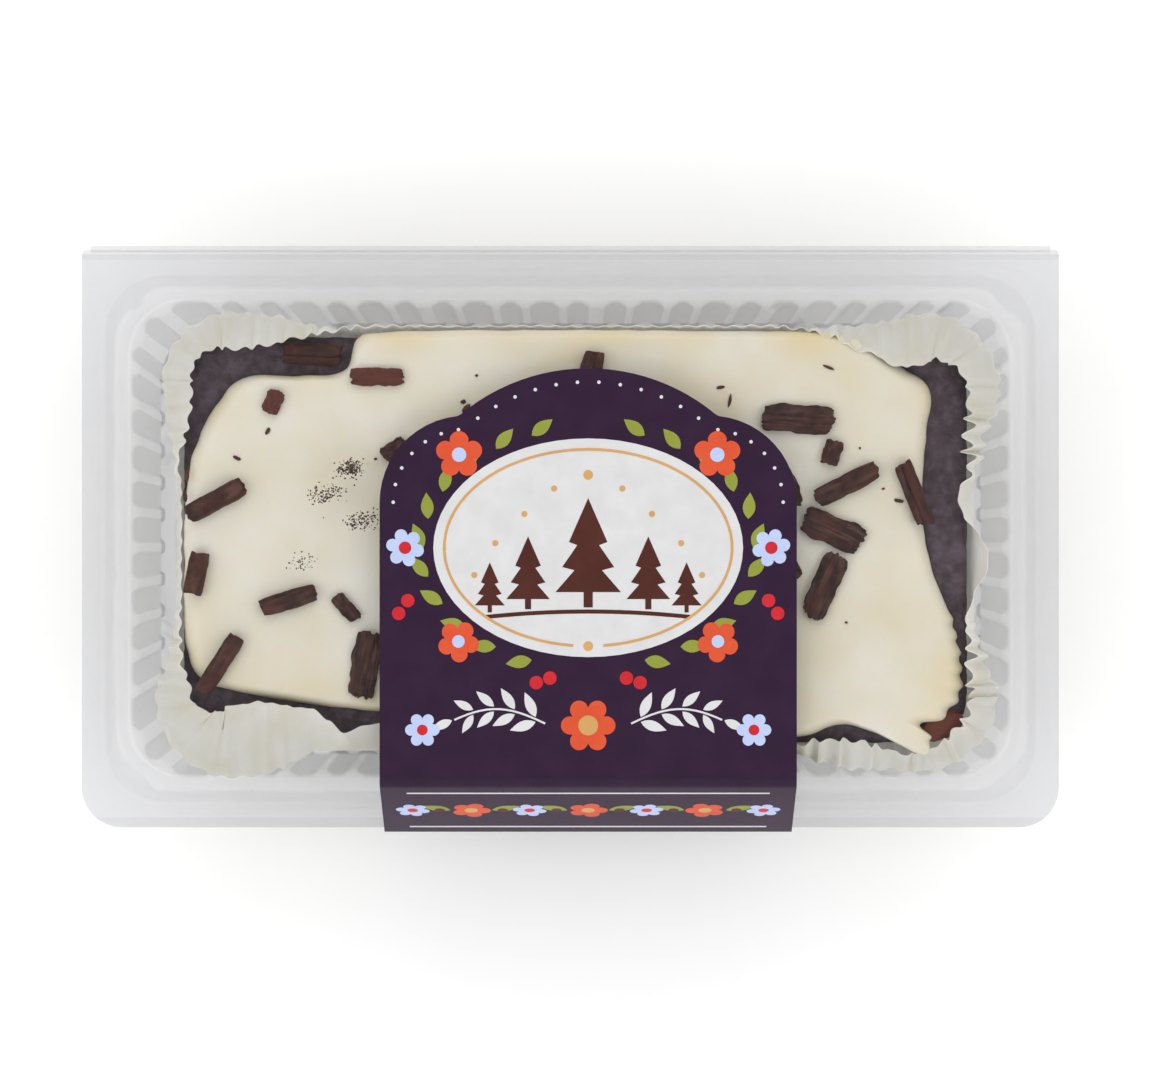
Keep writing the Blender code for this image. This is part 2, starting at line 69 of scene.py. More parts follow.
def add(primitive, name, **settings):
    """Adds a mesh primitive by its operator's name, with nothing else selected, and puts its place in its mesh."""
    bpy.ops.object.select_all(action="DESELECT")
    getattr(bpy.ops.mesh, f"primitive_{primitive}_add")(**settings)
    made = bpy.context.active_object
    made.name = name
    made.data.name = name
    bpy.ops.object.transform_apply(location=True, rotation=True, scale=True)
    return made


def edit(obj):
    """Opens obj in edit mode as the only object selected."""
    bpy.ops.object.select_all(action="DESELECT")
    obj.select_set(True)
    bpy.context.view_layer.objects.active = obj
    bpy.ops.object.mode_set(mode="EDIT")


def choose(kind, test):
    """In edit mode, selects the "verts", "edges" or "faces" that pass the test, and says how many they are."""
    bpy.ops.mesh.select_mode(type={"verts": "VERT", "edges": "EDGE", "faces": "FACE"}[kind])
    bpy.ops.mesh.select_all(action="DESELECT")
    data = bpy.context.active_object.data
    mesh = bmesh.from_edit_mesh(data)
    chosen = [part for part in getattr(mesh, kind) if test(part)]
    for part in chosen:
        part.select_set(True)
    bmesh.update_edit_mesh(data)
    return len(chosen)


def close_edit():
    bpy.ops.object.mode_set(mode="OBJECT")


def outward(up=None):
    """In edit mode, merges doubles and turns all faces outwards. On an open shell, which has no outside of its own,
    up says whether its largest level face should look up."""
    bpy.ops.mesh.select_all(action="SELECT")
    bpy.ops.mesh.remove_doubles(threshold=MERGE_DISTANCE)
    bpy.ops.mesh.normals_make_consistent(inside=False)
    mesh = bmesh.from_edit_mesh(bpy.context.active_object.data)
    largest = max(mesh.faces, key=lambda face: face.calc_area() * abs(face.normal.z))
    if up is not None and (largest.normal.z > 0) != up:
        bpy.ops.mesh.flip_normals()


def apply_modifier(obj, kind, **settings):
    """Adds a modifier, sets it up and applies it."""
    bpy.context.view_layer.objects.active = obj
    modifier = obj.modifiers.new(kind.lower(), kind)
    for key, value in settings.items():
        setattr(modifier, key, value)
    bpy.ops.object.modifier_apply(modifier=modifier.name)


def join(objects, name):
    """Joins the objects into the first one."""
    bpy.ops.object.select_all(action="DESELECT")
    for obj in objects:
        obj.select_set(True)
    bpy.context.view_layer.objects.active = objects[0]
    if len(objects) > 1:
        bpy.ops.object.join()
    objects[0].name = name
    return objects[0]


def smooth(obj, degrees=35):
    bpy.ops.object.select_all(action="DESELECT")
    obj.select_set(True)
    bpy.context.view_layer.objects.active = obj
    bpy.ops.object.shade_smooth_by_angle(angle=math.radians(degrees))


def place_points(obj, place):
    """Moves every point of obj to place(x, y, z)."""
    for vert in obj.data.vertices:
        vert.co = place(*vert.co)


def hand_over(obj, slot, nodes, *finishes):
    """Gives a finished piece its materials, its body and the CAD nodes that it stands for. slot is not used."""
    while len(obj.data.materials) < len(finishes):
        obj.data.materials.append(None)
    for i, finish in enumerate(finishes):
        obj.data.materials[i] = finish
    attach(obj, "root")
    if nodes:
        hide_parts(*nodes)
    obj.data.calc_loop_triangles()
    print(f"{obj.name}: {len(obj.data.loop_triangles)} triangles")


# %% [markdown]
# ## The stage
#
# The pack is seen from straight above, in the soft even light of a product photograph. The camera hangs a little over
# a metre above it with a long lens, which keeps the pack's walls nearly hidden behind its top, as in the photograph.
# Wide lights on four sides, and a sky that is darker straight above, keep reflections off the flat lid and the print.

# %% Camera
FLANGE_TOP = 34.75 * MM
CAMERA_ABOVE_FLANGE = 1.108
FRAME_WIDTH_AT_FLANGE = 0.2635
PACK_LEFT_OF_CENTRE = 3.3 * MM
PACK_ABOVE_CENTRE = 0.3 * MM

camera_data = bpy.data.cameras.new("camera")
camera_data.sensor_width = 36.0
camera_data.lens = camera_data.sensor_width * CAMERA_ABOVE_FLANGE / FRAME_WIDTH_AT_FLANGE
camera = bpy.data.objects.new("camera", camera_data)
camera.location = (PACK_LEFT_OF_CENTRE, -PACK_ABOVE_CENTRE, FLANGE_TOP + CAMERA_ABOVE_FLANGE)
bpy.context.scene.collection.objects.link(camera)
bpy.context.scene.camera = camera
print("lens in mm:", round(camera_data.lens, 1))

# %% Floor and light
FLOOR_COLOUR = (0.97, 0.97, 0.97)
FLOOR_SIZE = 6.0
FLOOR_ROUGHNESS = 0.9
LIGHT_DISTANCE = 1.1
LIGHT_SIZE = 0.8
# Each light's azimuth from the front and elevation, in degrees, and its power in watts.
LIGHTS = {
    "left_light": (-75, 48, 3.0),
    "right_light": (75, 48, 2.6),
    "back_light": (180, 50, 2.8),
    "front_light": (0, 50, 1.9),
}
# The sky's grey near the horizon and straight above, each with the height where it starts to change.
SKY_GREYS = ((1.0, 0.35), (0.36, 0.95))
# How many clear surfaces a ray may pass before Cycles stops it and shows black.
SURFACES_SEEN_THROUGH = 32


def soft_light(name, azimuth, elevation, watts):
    """A square area light that looks at the pack."""
    data = bpy.data.lights.new(name, "AREA")
    data.size = LIGHT_SIZE
    data.energy = watts
    light = bpy.data.objects.new(name, data)
    a, e = math.radians(azimuth), math.radians(elevation)
    towards = Vector((math.sin(a) * math.cos(e), -math.cos(a) * math.cos(e), math.sin(e)))
    light.location = towards * LIGHT_DISTANCE
    light.rotation_euler = towards.to_track_quat("Z", "Y").to_euler()
    bpy.context.scene.collection.objects.link(light)


for light_name, settings in LIGHTS.items():
    soft_light(light_name, *settings)
print("lights:", len(LIGHTS))

world = bpy.data.worlds.new("studio")
world.use_nodes = True
world_nodes, world_links = world.node_tree.nodes, world.node_tree.links
sky_place = world_nodes.new("ShaderNodeTexCoord")
sky_split = world_nodes.new("ShaderNodeSeparateXYZ")
sky_ramp = world_nodes.new("ShaderNodeValToRGB")
for stop, (grey, height) in zip(sky_ramp.color_ramp.elements, SKY_GREYS):
    stop.position, stop.color = height, (grey, grey, grey, 1.0)
world_links.new(sky_place.outputs["Generated"], sky_split.inputs["Vector"])
world_links.new(sky_split.outputs["Z"], sky_ramp.inputs["Fac"])
world_links.new(sky_ramp.outputs["Color"], world_nodes["Background"].inputs["Color"])
bpy.context.scene.world = world
bpy.context.scene.view_settings.view_transform = "Standard"
bpy.context.scene.cycles.transparent_max_bounces = SURFACES_SEEN_THROUGH

floor = add("plane", "floor", size=FLOOR_SIZE)
floor_finish = bpy.data.materials.new("pale_floor")
floor_finish.use_nodes = True
floor_shader = floor_finish.node_tree.nodes["Principled BSDF"]
floor_shader.inputs["Base Color"].default_value = (*FLOOR_COLOUR, 1.0)
floor_shader.inputs["Roughness"].default_value = FLOOR_ROUGHNESS
floor.data.materials.append(floor_finish)

# %% [markdown]
# ## Finishes
#
# No real surface is one flat colour. Cake, icing, paper and ink each get a Principled shader whose colour drifts
# between two or three tones with a noise texture, and a bump from a second, finer one. The textures read Object
# coordinates, which are the same as the place in the pack because every piece's object stands at the origin.

# %% A helper for mottled finishes
# Most of a noise texture's values lie between these two.
NOISE_SPREAD = (0.32, 0.68)


def linear(red, green, blue):
    """The shader's colour for one that is seen as red, green and blue from 0 to 255."""
    return tuple(((v / 255 + 0.055) / 1.055) ** 2.4 if v > 10 else v / 255 / 12.92 for v in (red, green, blue)) + (1.0,)


def mottled(name, tones, grain, roughness, bump_grain, bump_height, stretch=(1, 1, 1), **sockets):
    """A Principled finish. tones are seen colours that the noise drifts between, and grain is its size in mm."""
    made = bpy.data.materials.new(name)
    made.use_nodes = True
    nodes, links = made.node_tree.nodes, made.node_tree.links
    shader = nodes["Principled BSDF"]
    shader.inputs["Roughness"].default_value = roughness
    for socket, value in sockets.items():
        shader.inputs[socket.replace("_", " ")].default_value = value
    place = nodes.new("ShaderNodeTexCoord")
    mapping = nodes.new("ShaderNodeMapping")
    mapping.inputs["Scale"].default_value = stretch
    links.new(place.outputs["Object"], mapping.inputs["Vector"])
    drift = nodes.new("ShaderNodeTexNoise")
    drift.inputs["Scale"].default_value = 1 / (grain * MM)
    drift.inputs["Detail"].default_value = 4.0
    links.new(mapping.outputs["Vector"], drift.inputs["Vector"])
    ramp = nodes.new("ShaderNodeValToRGB")
    ramp.name = "tones"
    while len(ramp.color_ramp.elements) < len(tones):
        ramp.color_ramp.elements.new(0.5)
    for i, tone in enumerate(tones):
        low, high = NOISE_SPREAD
        ramp.color_ramp.elements[i].position = low + (high - low) * i / max(1, len(tones) - 1)
        ramp.color_ramp.elements[i].color = linear(*tone)
    links.new(drift.outputs["Fac"], ramp.inputs["Fac"])
    links.new(ramp.outputs["Color"], shader.inputs["Base Color"])
    relief = nodes.new("ShaderNodeTexNoise")
    relief.name = "relief"
    relief.inputs["Scale"].default_value = 1 / (bump_grain * MM)
    relief.inputs["Detail"].default_value = 5.0
    links.new(mapping.outputs["Vector"], relief.inputs["Vector"])
    bump = nodes.new("ShaderNodeBump")
    bump.inputs["Distance"].default_value = bump_height * MM
    links.new(relief.outputs["Fac"], bump.inputs["Height"])
    links.new(bump.outputs["Normal"], shader.inputs["Normal"])
    return made


def tinted_by(made, attribute, tone):
    """Mixes a tone into a mottled finish where the mesh attribute is above 0."""
    nodes, links = made.node_tree.nodes, made.node_tree.links
    share = nodes.new("ShaderNodeAttribute")
    share.attribute_name = attribute
    mix = nodes.new("ShaderNodeMix")
    mix.data_type = "RGBA"
    # A Mix node of colours takes them at its inputs 6 and 7, and gives their mix at its output 2.
    under = nodes["Principled BSDF"].inputs["Base Color"].links[0].from_socket
    links.new(share.outputs["Fac"], mix.inputs["Factor"])
    links.new(under, mix.inputs[6])
    mix.inputs[7].default_value = linear(*tone)
    links.new(mix.outputs[2], nodes["Principled BSDF"].inputs["Base Color"])
    return made


def store(obj, attribute, values):
    """Stores one number from 0 to 1 at each point of obj."""
    layer = obj.data.attributes.new(attribute, "FLOAT", "POINT")
    layer.data.foreach_set("value", [min(1.0, max(0.0, v)) for v in values])


# %% [markdown]
# ## The clear film
#
# Formed film is not quite clear: it takes a little light, adds a thin milky veil, and mirrors more and more as it is
# seen edge-on. A Transparent shader with a pale grey tint lets the contents show, a small share of Diffuse gives the
# veil, and a Glossy shader is mixed in by how far the film is seen edge-on, for the mirroring. A faint, wide bump
# makes the highlights swim, as they do on sheet that was drawn over a mould.
#
# The film isn't alike all over, so it has five finishes: plain film, the flat top that is stretched the thinnest, the
# tray's stiff grooves, which are nearly clear and so stand lighter than the wall, the tray's wall and floor, which take
# a dark grey veil as painted shade, and the long edges of the flanges with the hinge, which take a smaller share of
# the same grey veil, also painted shade.

# %% Film finish
FILM_TINT = (0.943, 0.944, 0.949, 1.0)
TOP_TINT = (0.966, 0.967, 0.969, 1.0)
# Each veil's share of the light, and its colour. The wall's and the edges' dark grey veils are painted shade.
FILM_VEIL = (0.018, (0.93, 0.94, 0.96, 1.0))
TOP_VEIL = (0.002, (0.93, 0.94, 0.96, 1.0))
RIDGE_VEIL = (0.004, (0.97, 0.97, 0.97, 1.0))
WALL_PAINTED_SHADE = (0.11, (0.36, 0.35, 0.37, 1.0))
EDGE_PAINTED_SHADE = (0.05, (0.36, 0.36, 0.36, 1.0))
# How far the film is seen edge-on, and the share of the light that it then mirrors.
FILM_MIRROR = ((0.0, 0.004), (0.55, 0.04), (0.85, 0.20), (1.0, 0.50))
FILM_ROUGHNESS = 0.08
FILM_WAVE = 14 * MM
FILM_WAVE_HEIGHT = 0.5 * MM


def clear_film(name, tint, veil_share, veil_colour):
    """The finish of formed film. The veil is the share of diffuse light that each of its two surfaces sends back."""
    made = bpy.data.materials.new(name)
    made.use_nodes = True
    nodes, links = made.node_tree.nodes, made.node_tree.links
    nodes.remove(nodes["Principled BSDF"])
    clear = nodes.new("ShaderNodeBsdfTransparent")
    clear.inputs["Color"].default_value = tint
    veil = nodes.new("ShaderNodeBsdfDiffuse")
    veil.inputs["Color"].default_value = veil_colour
    gloss = nodes.new("ShaderNodeBsdfGlossy")
    gloss.inputs["Roughness"].default_value = FILM_ROUGHNESS
    edge_on = nodes.new("ShaderNodeLayerWeight")
    edge_on.inputs["Blend"].default_value = 0.5
    mirror_share = nodes.new("ShaderNodeValToRGB")
    mirror_share.color_ramp.interpolation = "B_SPLINE"
    while len(mirror_share.color_ramp.elements) < len(FILM_MIRROR):
        mirror_share.color_ramp.elements.new(0.5)
    for stop, (facing, share) in zip(mirror_share.color_ramp.elements, FILM_MIRROR):
        stop.position, stop.color = facing, (share, share, share, 1.0)
    place = nodes.new("ShaderNodeTexCoord")
    waves = nodes.new("ShaderNodeTexNoise")
    waves.inputs["Scale"].default_value = 1 / FILM_WAVE
    bump = nodes.new("ShaderNodeBump")
    bump.inputs["Distance"].default_value = FILM_WAVE_HEIGHT
    veiled = nodes.new("ShaderNodeMixShader")
    veiled.inputs["Fac"].default_value = veil_share
    mirrored = nodes.new("ShaderNodeMixShader")
    links.new(place.outputs["Object"], waves.inputs["Vector"])
    links.new(waves.outputs["Fac"], bump.inputs["Height"])
    links.new(bump.outputs["Normal"], gloss.inputs["Normal"])
    links.new(clear.outputs["BSDF"], veiled.inputs[1])
    links.new(veil.outputs["BSDF"], veiled.inputs[2])
    links.new(edge_on.outputs["Facing"], mirror_share.inputs["Fac"])
    links.new(mirror_share.outputs["Color"], mirrored.inputs["Fac"])
    links.new(veiled.outputs["Shader"], mirrored.inputs[1])
    links.new(gloss.outputs["BSDF"], mirrored.inputs[2])
    links.new(mirrored.outputs["Shader"], nodes["Material Output"].inputs["Surface"])
    return made


film = clear_film("clear_film", FILM_TINT, *FILM_VEIL)
top_film = clear_film("clear_film_top", TOP_TINT, *TOP_VEIL)
ridge_film = clear_film("clear_film_ridges", FILM_TINT, *RIDGE_VEIL)
wall_shade_film = clear_film("clear_film_wall_painted_shade", FILM_TINT, *WALL_PAINTED_SHADE)
edge_shade_film = clear_film("clear_film_edge_painted_shade", FILM_TINT, *EDGE_PAINTED_SHADE)

# %% [markdown]
# ## The lid
#
# The lid is a box with leaning walls, rounded corners and a softly rounded top edge, standing on a flat flange that
# has a raised bead round the box's foot. A cube does for the start: its bottom face is made larger, which leans the
# walls, and bevels round its upright edges and its top edge. The open foot is then extruded outwards over the bead,
# and once more, level, out to the flange's outline. Two cuts along the flange part off its long edges, which take a
# grey veil as painted shade, and a thin cylinder along the back is the hinge, with the same painted shade.

# %% Sizes of the pack
FILM = 0.35 * MM
FLANGE_HALF = Vector((110.0, 65.0)) * MM
FLANGE_FRONT_RADIUS = 9.0 * MM
FLANGE_BACK_RADIUS = 1.0 * MM
LID_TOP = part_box("lid")[1].z
DOME_FOOT_HALF = Vector((105.0, 59.5)) * MM
DOME_TOP_HALF = Vector((98.7, 54.0)) * MM
DOME_CORNER_RADIUS = 13.0 * MM
DOME_EDGE_RADIUS = 2.6 * MM
HINGE_RADIUS = 0.7 * MM
HINGE_SHORTER_BY = 4 * MM
HINGE_BEHIND_FLANGE = 0.2 * MM
HINGE_BELOW_FLANGE = 0.4 * MM
EDGE_BAND_Y = 62.8 * MM


# %% A flange round an open foot
def looks_down(face):
    return face.normal.z < -0.9


def leaning_edge(edge):
    rise = edge.verts[0].co - edge.verts[1].co
    return abs(rise.z) > 0.5 * rise.length


def swell(half, out):
    """Makes the selected loop, of the given half sizes, larger by out all round. Returns its new half sizes."""
    grown = Vector((half.x + out, half.y + out))
    bpy.ops.transform.resize(value=(grown.x / half.x, grown.y / half.y, 1))
    return grown


def add_flange(shell, back_trim=0.0):
    """Extrudes the shell's open edge level out to the flange's outline, a rectangle with rounded corners."""
    edit(shell)
    choose("edges", lambda edge: len(edge.link_faces) < 2)
    bpy.ops.mesh.extrude_region_move(TRANSFORM_OT_translate={"value": (0, 0, 0)})
    mesh = bmesh.from_edit_mesh(shell.data)
    moved = [vert for vert in mesh.verts if vert.select]
    half_x, half_y = (max(abs(vert.co[i]) for vert in moved) - 0.05 * MM for i in (0, 1))
    corner_x = max(abs(vert.co.x) for vert in moved if abs(vert.co.y) > half_y)
    corner_y = max(abs(vert.co.y) for vert in moved if abs(vert.co.x) > half_x)
    for vert in moved:
        x, y = abs(vert.co.x), abs(vert.co.y)
        radius = FLANGE_FRONT_RADIUS if vert.co.y < 0 else FLANGE_BACK_RADIUS
        straight = FLANGE_HALF - Vector((radius, radius))
        if y > half_y:
            x, y = x / corner_x * straight.x, FLANGE_HALF.y
        elif x > half_x:
            x, y = FLANGE_HALF.x, y / corner_y * straight.y
        else:
            turn = math.atan2(y - corner_y, x - corner_x)
            x, y = straight.x + radius * math.cos(turn), straight.y + radius * math.sin(turn)
        vert.co.x = math.copysign(x, vert.co.x)
        vert.co.y = min(math.copysign(y, vert.co.y), FLANGE_HALF.y - back_trim)
    bmesh.update_edit_mesh(shell.data)
    close_edit()


# %% Shape the dome
lid_height = LID_TOP - FLANGE_TOP
lid = add("cube", "lid_film", size=1, location=(0, 0, FLANGE_TOP + lid_height / 2),
          scale=(2 * DOME_TOP_HALF.x, 2 * DOME_TOP_HALF.y, lid_height))
edit(lid)
choose("faces", looks_down)
bpy.ops.transform.resize(value=(DOME_FOOT_HALF.x / DOME_TOP_HALF.x, DOME_FOOT_HALF.y / DOME_TOP_HALF.y, 1))
choose("edges", leaning_edge)
bpy.ops.mesh.bevel(offset=DOME_CORNER_RADIUS, segments=10, affect="EDGES")
choose("edges", lambda edge: all(v.co.z > LID_TOP - 0.1 * MM for v in edge.verts))
bpy.ops.mesh.bevel(offset=DOME_EDGE_RADIUS, segments=4, affect="EDGES")
choose("faces", looks_down)
bpy.ops.mesh.delete(type="ONLY_FACE")

# %% Bead and flange
# How far out and up each extrusion of the bead goes, in mm.
BEAD_STEPS = ((0.9, 0.0), (0.5, 0.55), (0.9, 0.1), (0.5, -0.65))
foot_half = DOME_FOOT_HALF
choose("edges", lambda edge: len(edge.link_faces) < 2)
for out, up in BEAD_STEPS:
    bpy.ops.mesh.extrude_region_move(TRANSFORM_OT_translate={"value": (0, 0, up * MM)})
    foot_half = swell(foot_half, out * MM)
close_edit()
add_flange(lid)
edit(lid)
outward(up=True)
for side in (-1, 1):
    bpy.ops.mesh.select_all(action="SELECT")
    bpy.ops.mesh.bisect(plane_co=(0, side * EDGE_BAND_Y, 0), plane_no=(0, 1, 0))
# Slot 1 takes the flat top's clearer film. Slot 2, the flange's long edges, takes a grey veil that is painted shade.
for finish in (film, top_film, edge_shade_film):
    lid.data.materials.append(finish)
for slot, test in ((1, lambda face: face.calc_center_median().z > LID_TOP - 0.1 * MM),
                   (2, lambda face: abs(face.calc_center_median().y) > EDGE_BAND_Y)):
    print("lid faces in slot", slot, choose("faces", test))
    lid.active_material_index = slot
    bpy.ops.object.material_slot_assign()
close_edit()
apply_modifier(lid, "SOLIDIFY", thickness=FILM, offset=-1, use_even_offset=True)
hinge = add("cylinder", "hinge", vertices=12, radius=HINGE_RADIUS, depth=2 * FLANGE_HALF.x - HINGE_SHORTER_BY,
            location=(0, FLANGE_HALF.y + HINGE_BEHIND_FLANGE, FLANGE_TOP - HINGE_BELOW_FLANGE),
            rotation=(0, math.pi / 2, 0))
# The hinge takes the same grey veil, which is painted shade for its dark line.
hinge.data.materials.append(edge_shade_film)
lid = join([lid, hinge], "lid_film")
smooth(lid)
hand_over(lid, "clear_film", ["lid"], film, top_film, edge_shade_film)

# %% [markdown]
# ## The tray
#
# The tray's walls are fluted all the way round, which stiffens thin film. A cube is narrowed at its floor and its
# corners bevelled, as for the lid. Its long and short walls are then cut into narrow upright strips with Subdivide,
# eight to a flute, and the strips that make the grooves are pushed in. The grooves stop short of the tray's mouth. The
# floor stands on a wide pad at each end, and is raised between them, where the card band passes under it.

# %% Sizes of the tray
TRAY_HEIGHT = 33.9 * MM
MOUTH_HALF = Vector((99.2, 53.9)) * MM
TRAY_FLOOR_HALF = Vector((95.2, 50.0)) * MM
TRAY_CORNER_RADIUS = 13.0 * MM
STRIPS_PER_FLUTE = 8
GROOVE_STRIPS = (5, 6)
CORNER_STRIPS = 12
CORNER_STRIPS_PER_FLUTE = 5
CORNER_GROOVE_STRIPS = (2, 3)
CUT_HEIGHTS = (2.0, 4.0, 29.5, 31.5)
FLUTES_ALONG = 22
FLUTES_ACROSS = 10
FLUTE_DEPTH = 1.1 * MM
PAD_INNER_X = 56.0 * MM
PAD_RAMP = 3.0 * MM
PAD_DROP = 1.0 * MM
BACK_TRIM = 0.9 * MM

# %% Shape the tub
tray = add("cube", "tray_film", size=1, location=(0, 0, TRAY_HEIGHT / 2),
           scale=(2 * MOUTH_HALF.x, 2 * MOUTH_HALF.y, TRAY_HEIGHT))
edit(tray)
choose("faces", looks_down)
bpy.ops.transform.resize(value=(TRAY_FLOOR_HALF.x / MOUTH_HALF.x, TRAY_FLOOR_HALF.y / MOUTH_HALF.y, 1))
choose("edges", leaning_edge)
bpy.ops.mesh.bevel(offset=TRAY_CORNER_RADIUS, segments=CORNER_STRIPS, affect="EDGES")
choose("faces", lambda face: face.normal.z > 0.9)
bpy.ops.mesh.delete(type="ONLY_FACE")


def runs_along(axis):
    """True for a long level edge along the axis."""
    return lambda edge: abs((edge.verts[0].co - edge.verts[1].co)[axis]) > 30 * MM


for axis, flutes in ((0, FLUTES_ALONG), (1, FLUTES_ACROSS)):
    choose("edges", runs_along(axis))
    bpy.ops.mesh.subdivide(number_cuts=flutes * STRIPS_PER_FLUTE - 1)
choose("faces", lambda face: not looks_down(face))
for height in CUT_HEIGHTS:
    bpy.ops.mesh.bisect(plane_co=(0, 0, height * MM), plane_no=(0, 0, 1))
    choose("faces", lambda face: not looks_down(face))

# %% Press the grooves in
ROW_LOW, ROW_HIGH = 1.9 * MM, 31.6 * MM


def in_groove(face):
    """True for the wall strips that are pushed in, between the floor's edge and the plain rim."""
    centre = face.calc_center_median()
    if looks_down(face) or not ROW_LOW < centre.z < ROW_HIGH:
        return False
    share = (TRAY_HEIGHT - centre.z) / TRAY_HEIGHT
    straight = [MOUTH_HALF[i] + (TRAY_FLOOR_HALF[i] - MOUTH_HALF[i]) * share - TRAY_CORNER_RADIUS for i in (0, 1)]
    for i, flutes in ((0, FLUTES_ALONG), (1, FLUTES_ACROSS)):
        if abs(centre[i]) < straight[i] and abs(face.normal[1 - i]) > 0.9:
            strip = (centre[i] + straight[i]) / (2 * straight[i]) * flutes * STRIPS_PER_FLUTE
            return int(strip) % STRIPS_PER_FLUTE in GROOVE_STRIPS
    turn = math.degrees(math.atan2(abs(centre.y) - straight[1], abs(centre.x) - straight[0]))
    return int(turn / (90 / CORNER_STRIPS)) % CORNER_STRIPS_PER_FLUTE in CORNER_GROOVE_STRIPS


print("groove faces:", choose("faces", in_groove))
bpy.ops.transform.shrink_fatten(value=-FLUTE_DEPTH)
for finish in (film, ridge_film, wall_shade_film):
    tray.data.materials.append(finish)
tray.active_material_index = 1
bpy.ops.object.material_slot_assign()
# The wall's plain strips and the floor take a grey veil. It is painted shade, where the cake shades the tray.
choose("faces", lambda face: face.material_index == 0 and face.calc_center_median().z < ROW_HIGH)
tray.active_material_index = 2
bpy.ops.object.material_slot_assign()
close_edit()

# %% Pads, flange and wall
edit(tray)
for side in (-1, 1):
    for x in (PAD_INNER_X, PAD_INNER_X - PAD_RAMP):
        choose("faces", looks_down)
        bpy.ops.mesh.bisect(plane_co=(side * x, 0, 0), plane_no=(1, 0, 0))
choose("verts", lambda v: v.co.z < 0.1 * MM and abs(v.co.x) < PAD_INNER_X - PAD_RAMP + 0.1 * MM)
bpy.ops.transform.translate(value=(0, 0, PAD_DROP))
close_edit()
add_flange(tray, back_trim=BACK_TRIM)
edit(tray)
outward(up=False)
close_edit()
apply_modifier(tray, "SOLIDIFY", thickness=FILM, offset=-1)
smooth(tray, 50)
hand_over(tray, "clear_film", ["tray"], film, ridge_film, wall_shade_film)

# %% [markdown]
# ## The sponge
#
# The loaf is a tapered block with rounded corners and a rounded shoulder. Where the icing stops short, its dark top
# shows. A cube gives the block, Remesh cuts it into small even faces, and a fine noise then moves their points down
# or in, for the open, crumbly skin of a sponge. The finer crumb is left to the finish's bump.

# %% Sponge
CAKE_LOW, CAKE_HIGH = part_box("cake")
CAKE_CENTRE = (CAKE_LOW + CAKE_HIGH) / 2
CAKE_HALF = (CAKE_HIGH - CAKE_LOW) / 2
CAKE_TOP = CAKE_HIGH.z
CAKE_TAPER = (4.5 * MM, 4.0 * MM)
CAKE_CORNER_RADIUS = 11.0 * MM
CAKE_EDGE_RADIUS = 2.5 * MM
CRUMB_FACE = 1.25 * MM
PIT_SIZE = 2.6 * MM
PIT_DEPTH = 0.28 * MM
PIT_SINK = 0.25 * MM

# The sponge's tones are partly its own dark colour and partly the film's purple-grey sheen, painted in.
sponge = mottled("chocolate_sponge", ((65, 52, 57), (79, 66, 74), (96, 82, 92)), 2.2, 0.62, 0.5, 0.3,
                 Specular_IOR_Level=0.25)
cake = add("cube", "cake_sponge", size=1, location=CAKE_CENTRE, scale=2 * CAKE_HALF)
edit(cake)
choose("faces", looks_down)
bpy.ops.transform.resize(value=(1 - CAKE_TAPER[0] / CAKE_HALF.x, 1 - CAKE_TAPER[1] / CAKE_HALF.y, 1))
choose("edges", leaning_edge)
bpy.ops.mesh.bevel(offset=CAKE_CORNER_RADIUS, segments=8, affect="EDGES")
choose("edges", lambda edge: all(v.co.z > CAKE_TOP - 0.1 * MM for v in edge.verts))
bpy.ops.mesh.bevel(offset=CAKE_EDGE_RADIUS, segments=3, affect="EDGES")
close_edit()
apply_modifier(cake, "REMESH", mode="VOXEL", voxel_size=CRUMB_FACE)


def crumbly(x, y, z):
    """The point moved by up to about half a millimetre, down from the top and in from the sides."""
    point = Vector((x, y, z))
    pit = noise.fractal(point / PIT_SIZE, 0.6, 2.0, 3) * PIT_DEPTH - PIT_SINK
    outwards = Vector(((x - CAKE_CENTRE.x) / CAKE_HALF.x, (y - CAKE_CENTRE.y) / CAKE_HALF.y, 0.0))
    outwards.z = 1.0 if z > CAKE_TOP - 1.5 * MM else 0.0
    return point + outwards.normalized() * min(0.0, pit)


place_points(cake, crumbly)
smooth(cake, 180)
hand_over(cake, "sponge", ["cake"], sponge)

# %% [markdown]
# ## The icing
#
# The icing was spread with a palette knife while soft, so it is smooth, a little wavy, and ends in a rounded, uneven
# edge that bares the sponge in places. Its edge is a smooth curve through a few listed points. A grid primitive
# is wrapped round that curve: one of its directions runs round the edge and the other from the middle out and down
# over the rim. A grid is easier to control here than a blob pushed about by hand.

# %% The edge of the icing
ICING_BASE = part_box("icing")[0].z
ICING_THICKNESS = 4.0 * MM
ICING_EDGE_POINTS = (
    (86.8, -31.0), (85.2, -36.6), (81.6, -40.0), (77.4, -41.2), (79.7, -43.7), (80.0, -46.4), (77.6, -47.8),
    (73.0, -45.7), (66.5, -42.6), (59.5, -41.2), (50.0, -43.9),
    (30.0, -42.5), (5.0, -41.0), (-20.0, -39.5), (-45.0, -38.0), (-63.0, -35.8), (-75.0, -33.6), (-81.8, -30.8),
    (-85.0, -24.0), (-85.6, -8.0), (-85.0, 10.0), (-81.8, 23.5), (-73.0, 35.2), (-60.0, 36.0),
    (-50.0, 37.2), (-47.0, 44.2), (-38.0, 45.9), (0.0, 46.2), (35.0, 46.0), (61.0, 45.2),
    (71.5, 39.0), (79.5, 33.0), (78.8, 22.0), (78.0, 6.0), (80.5, -8.0), (85.0, -19.0),
)


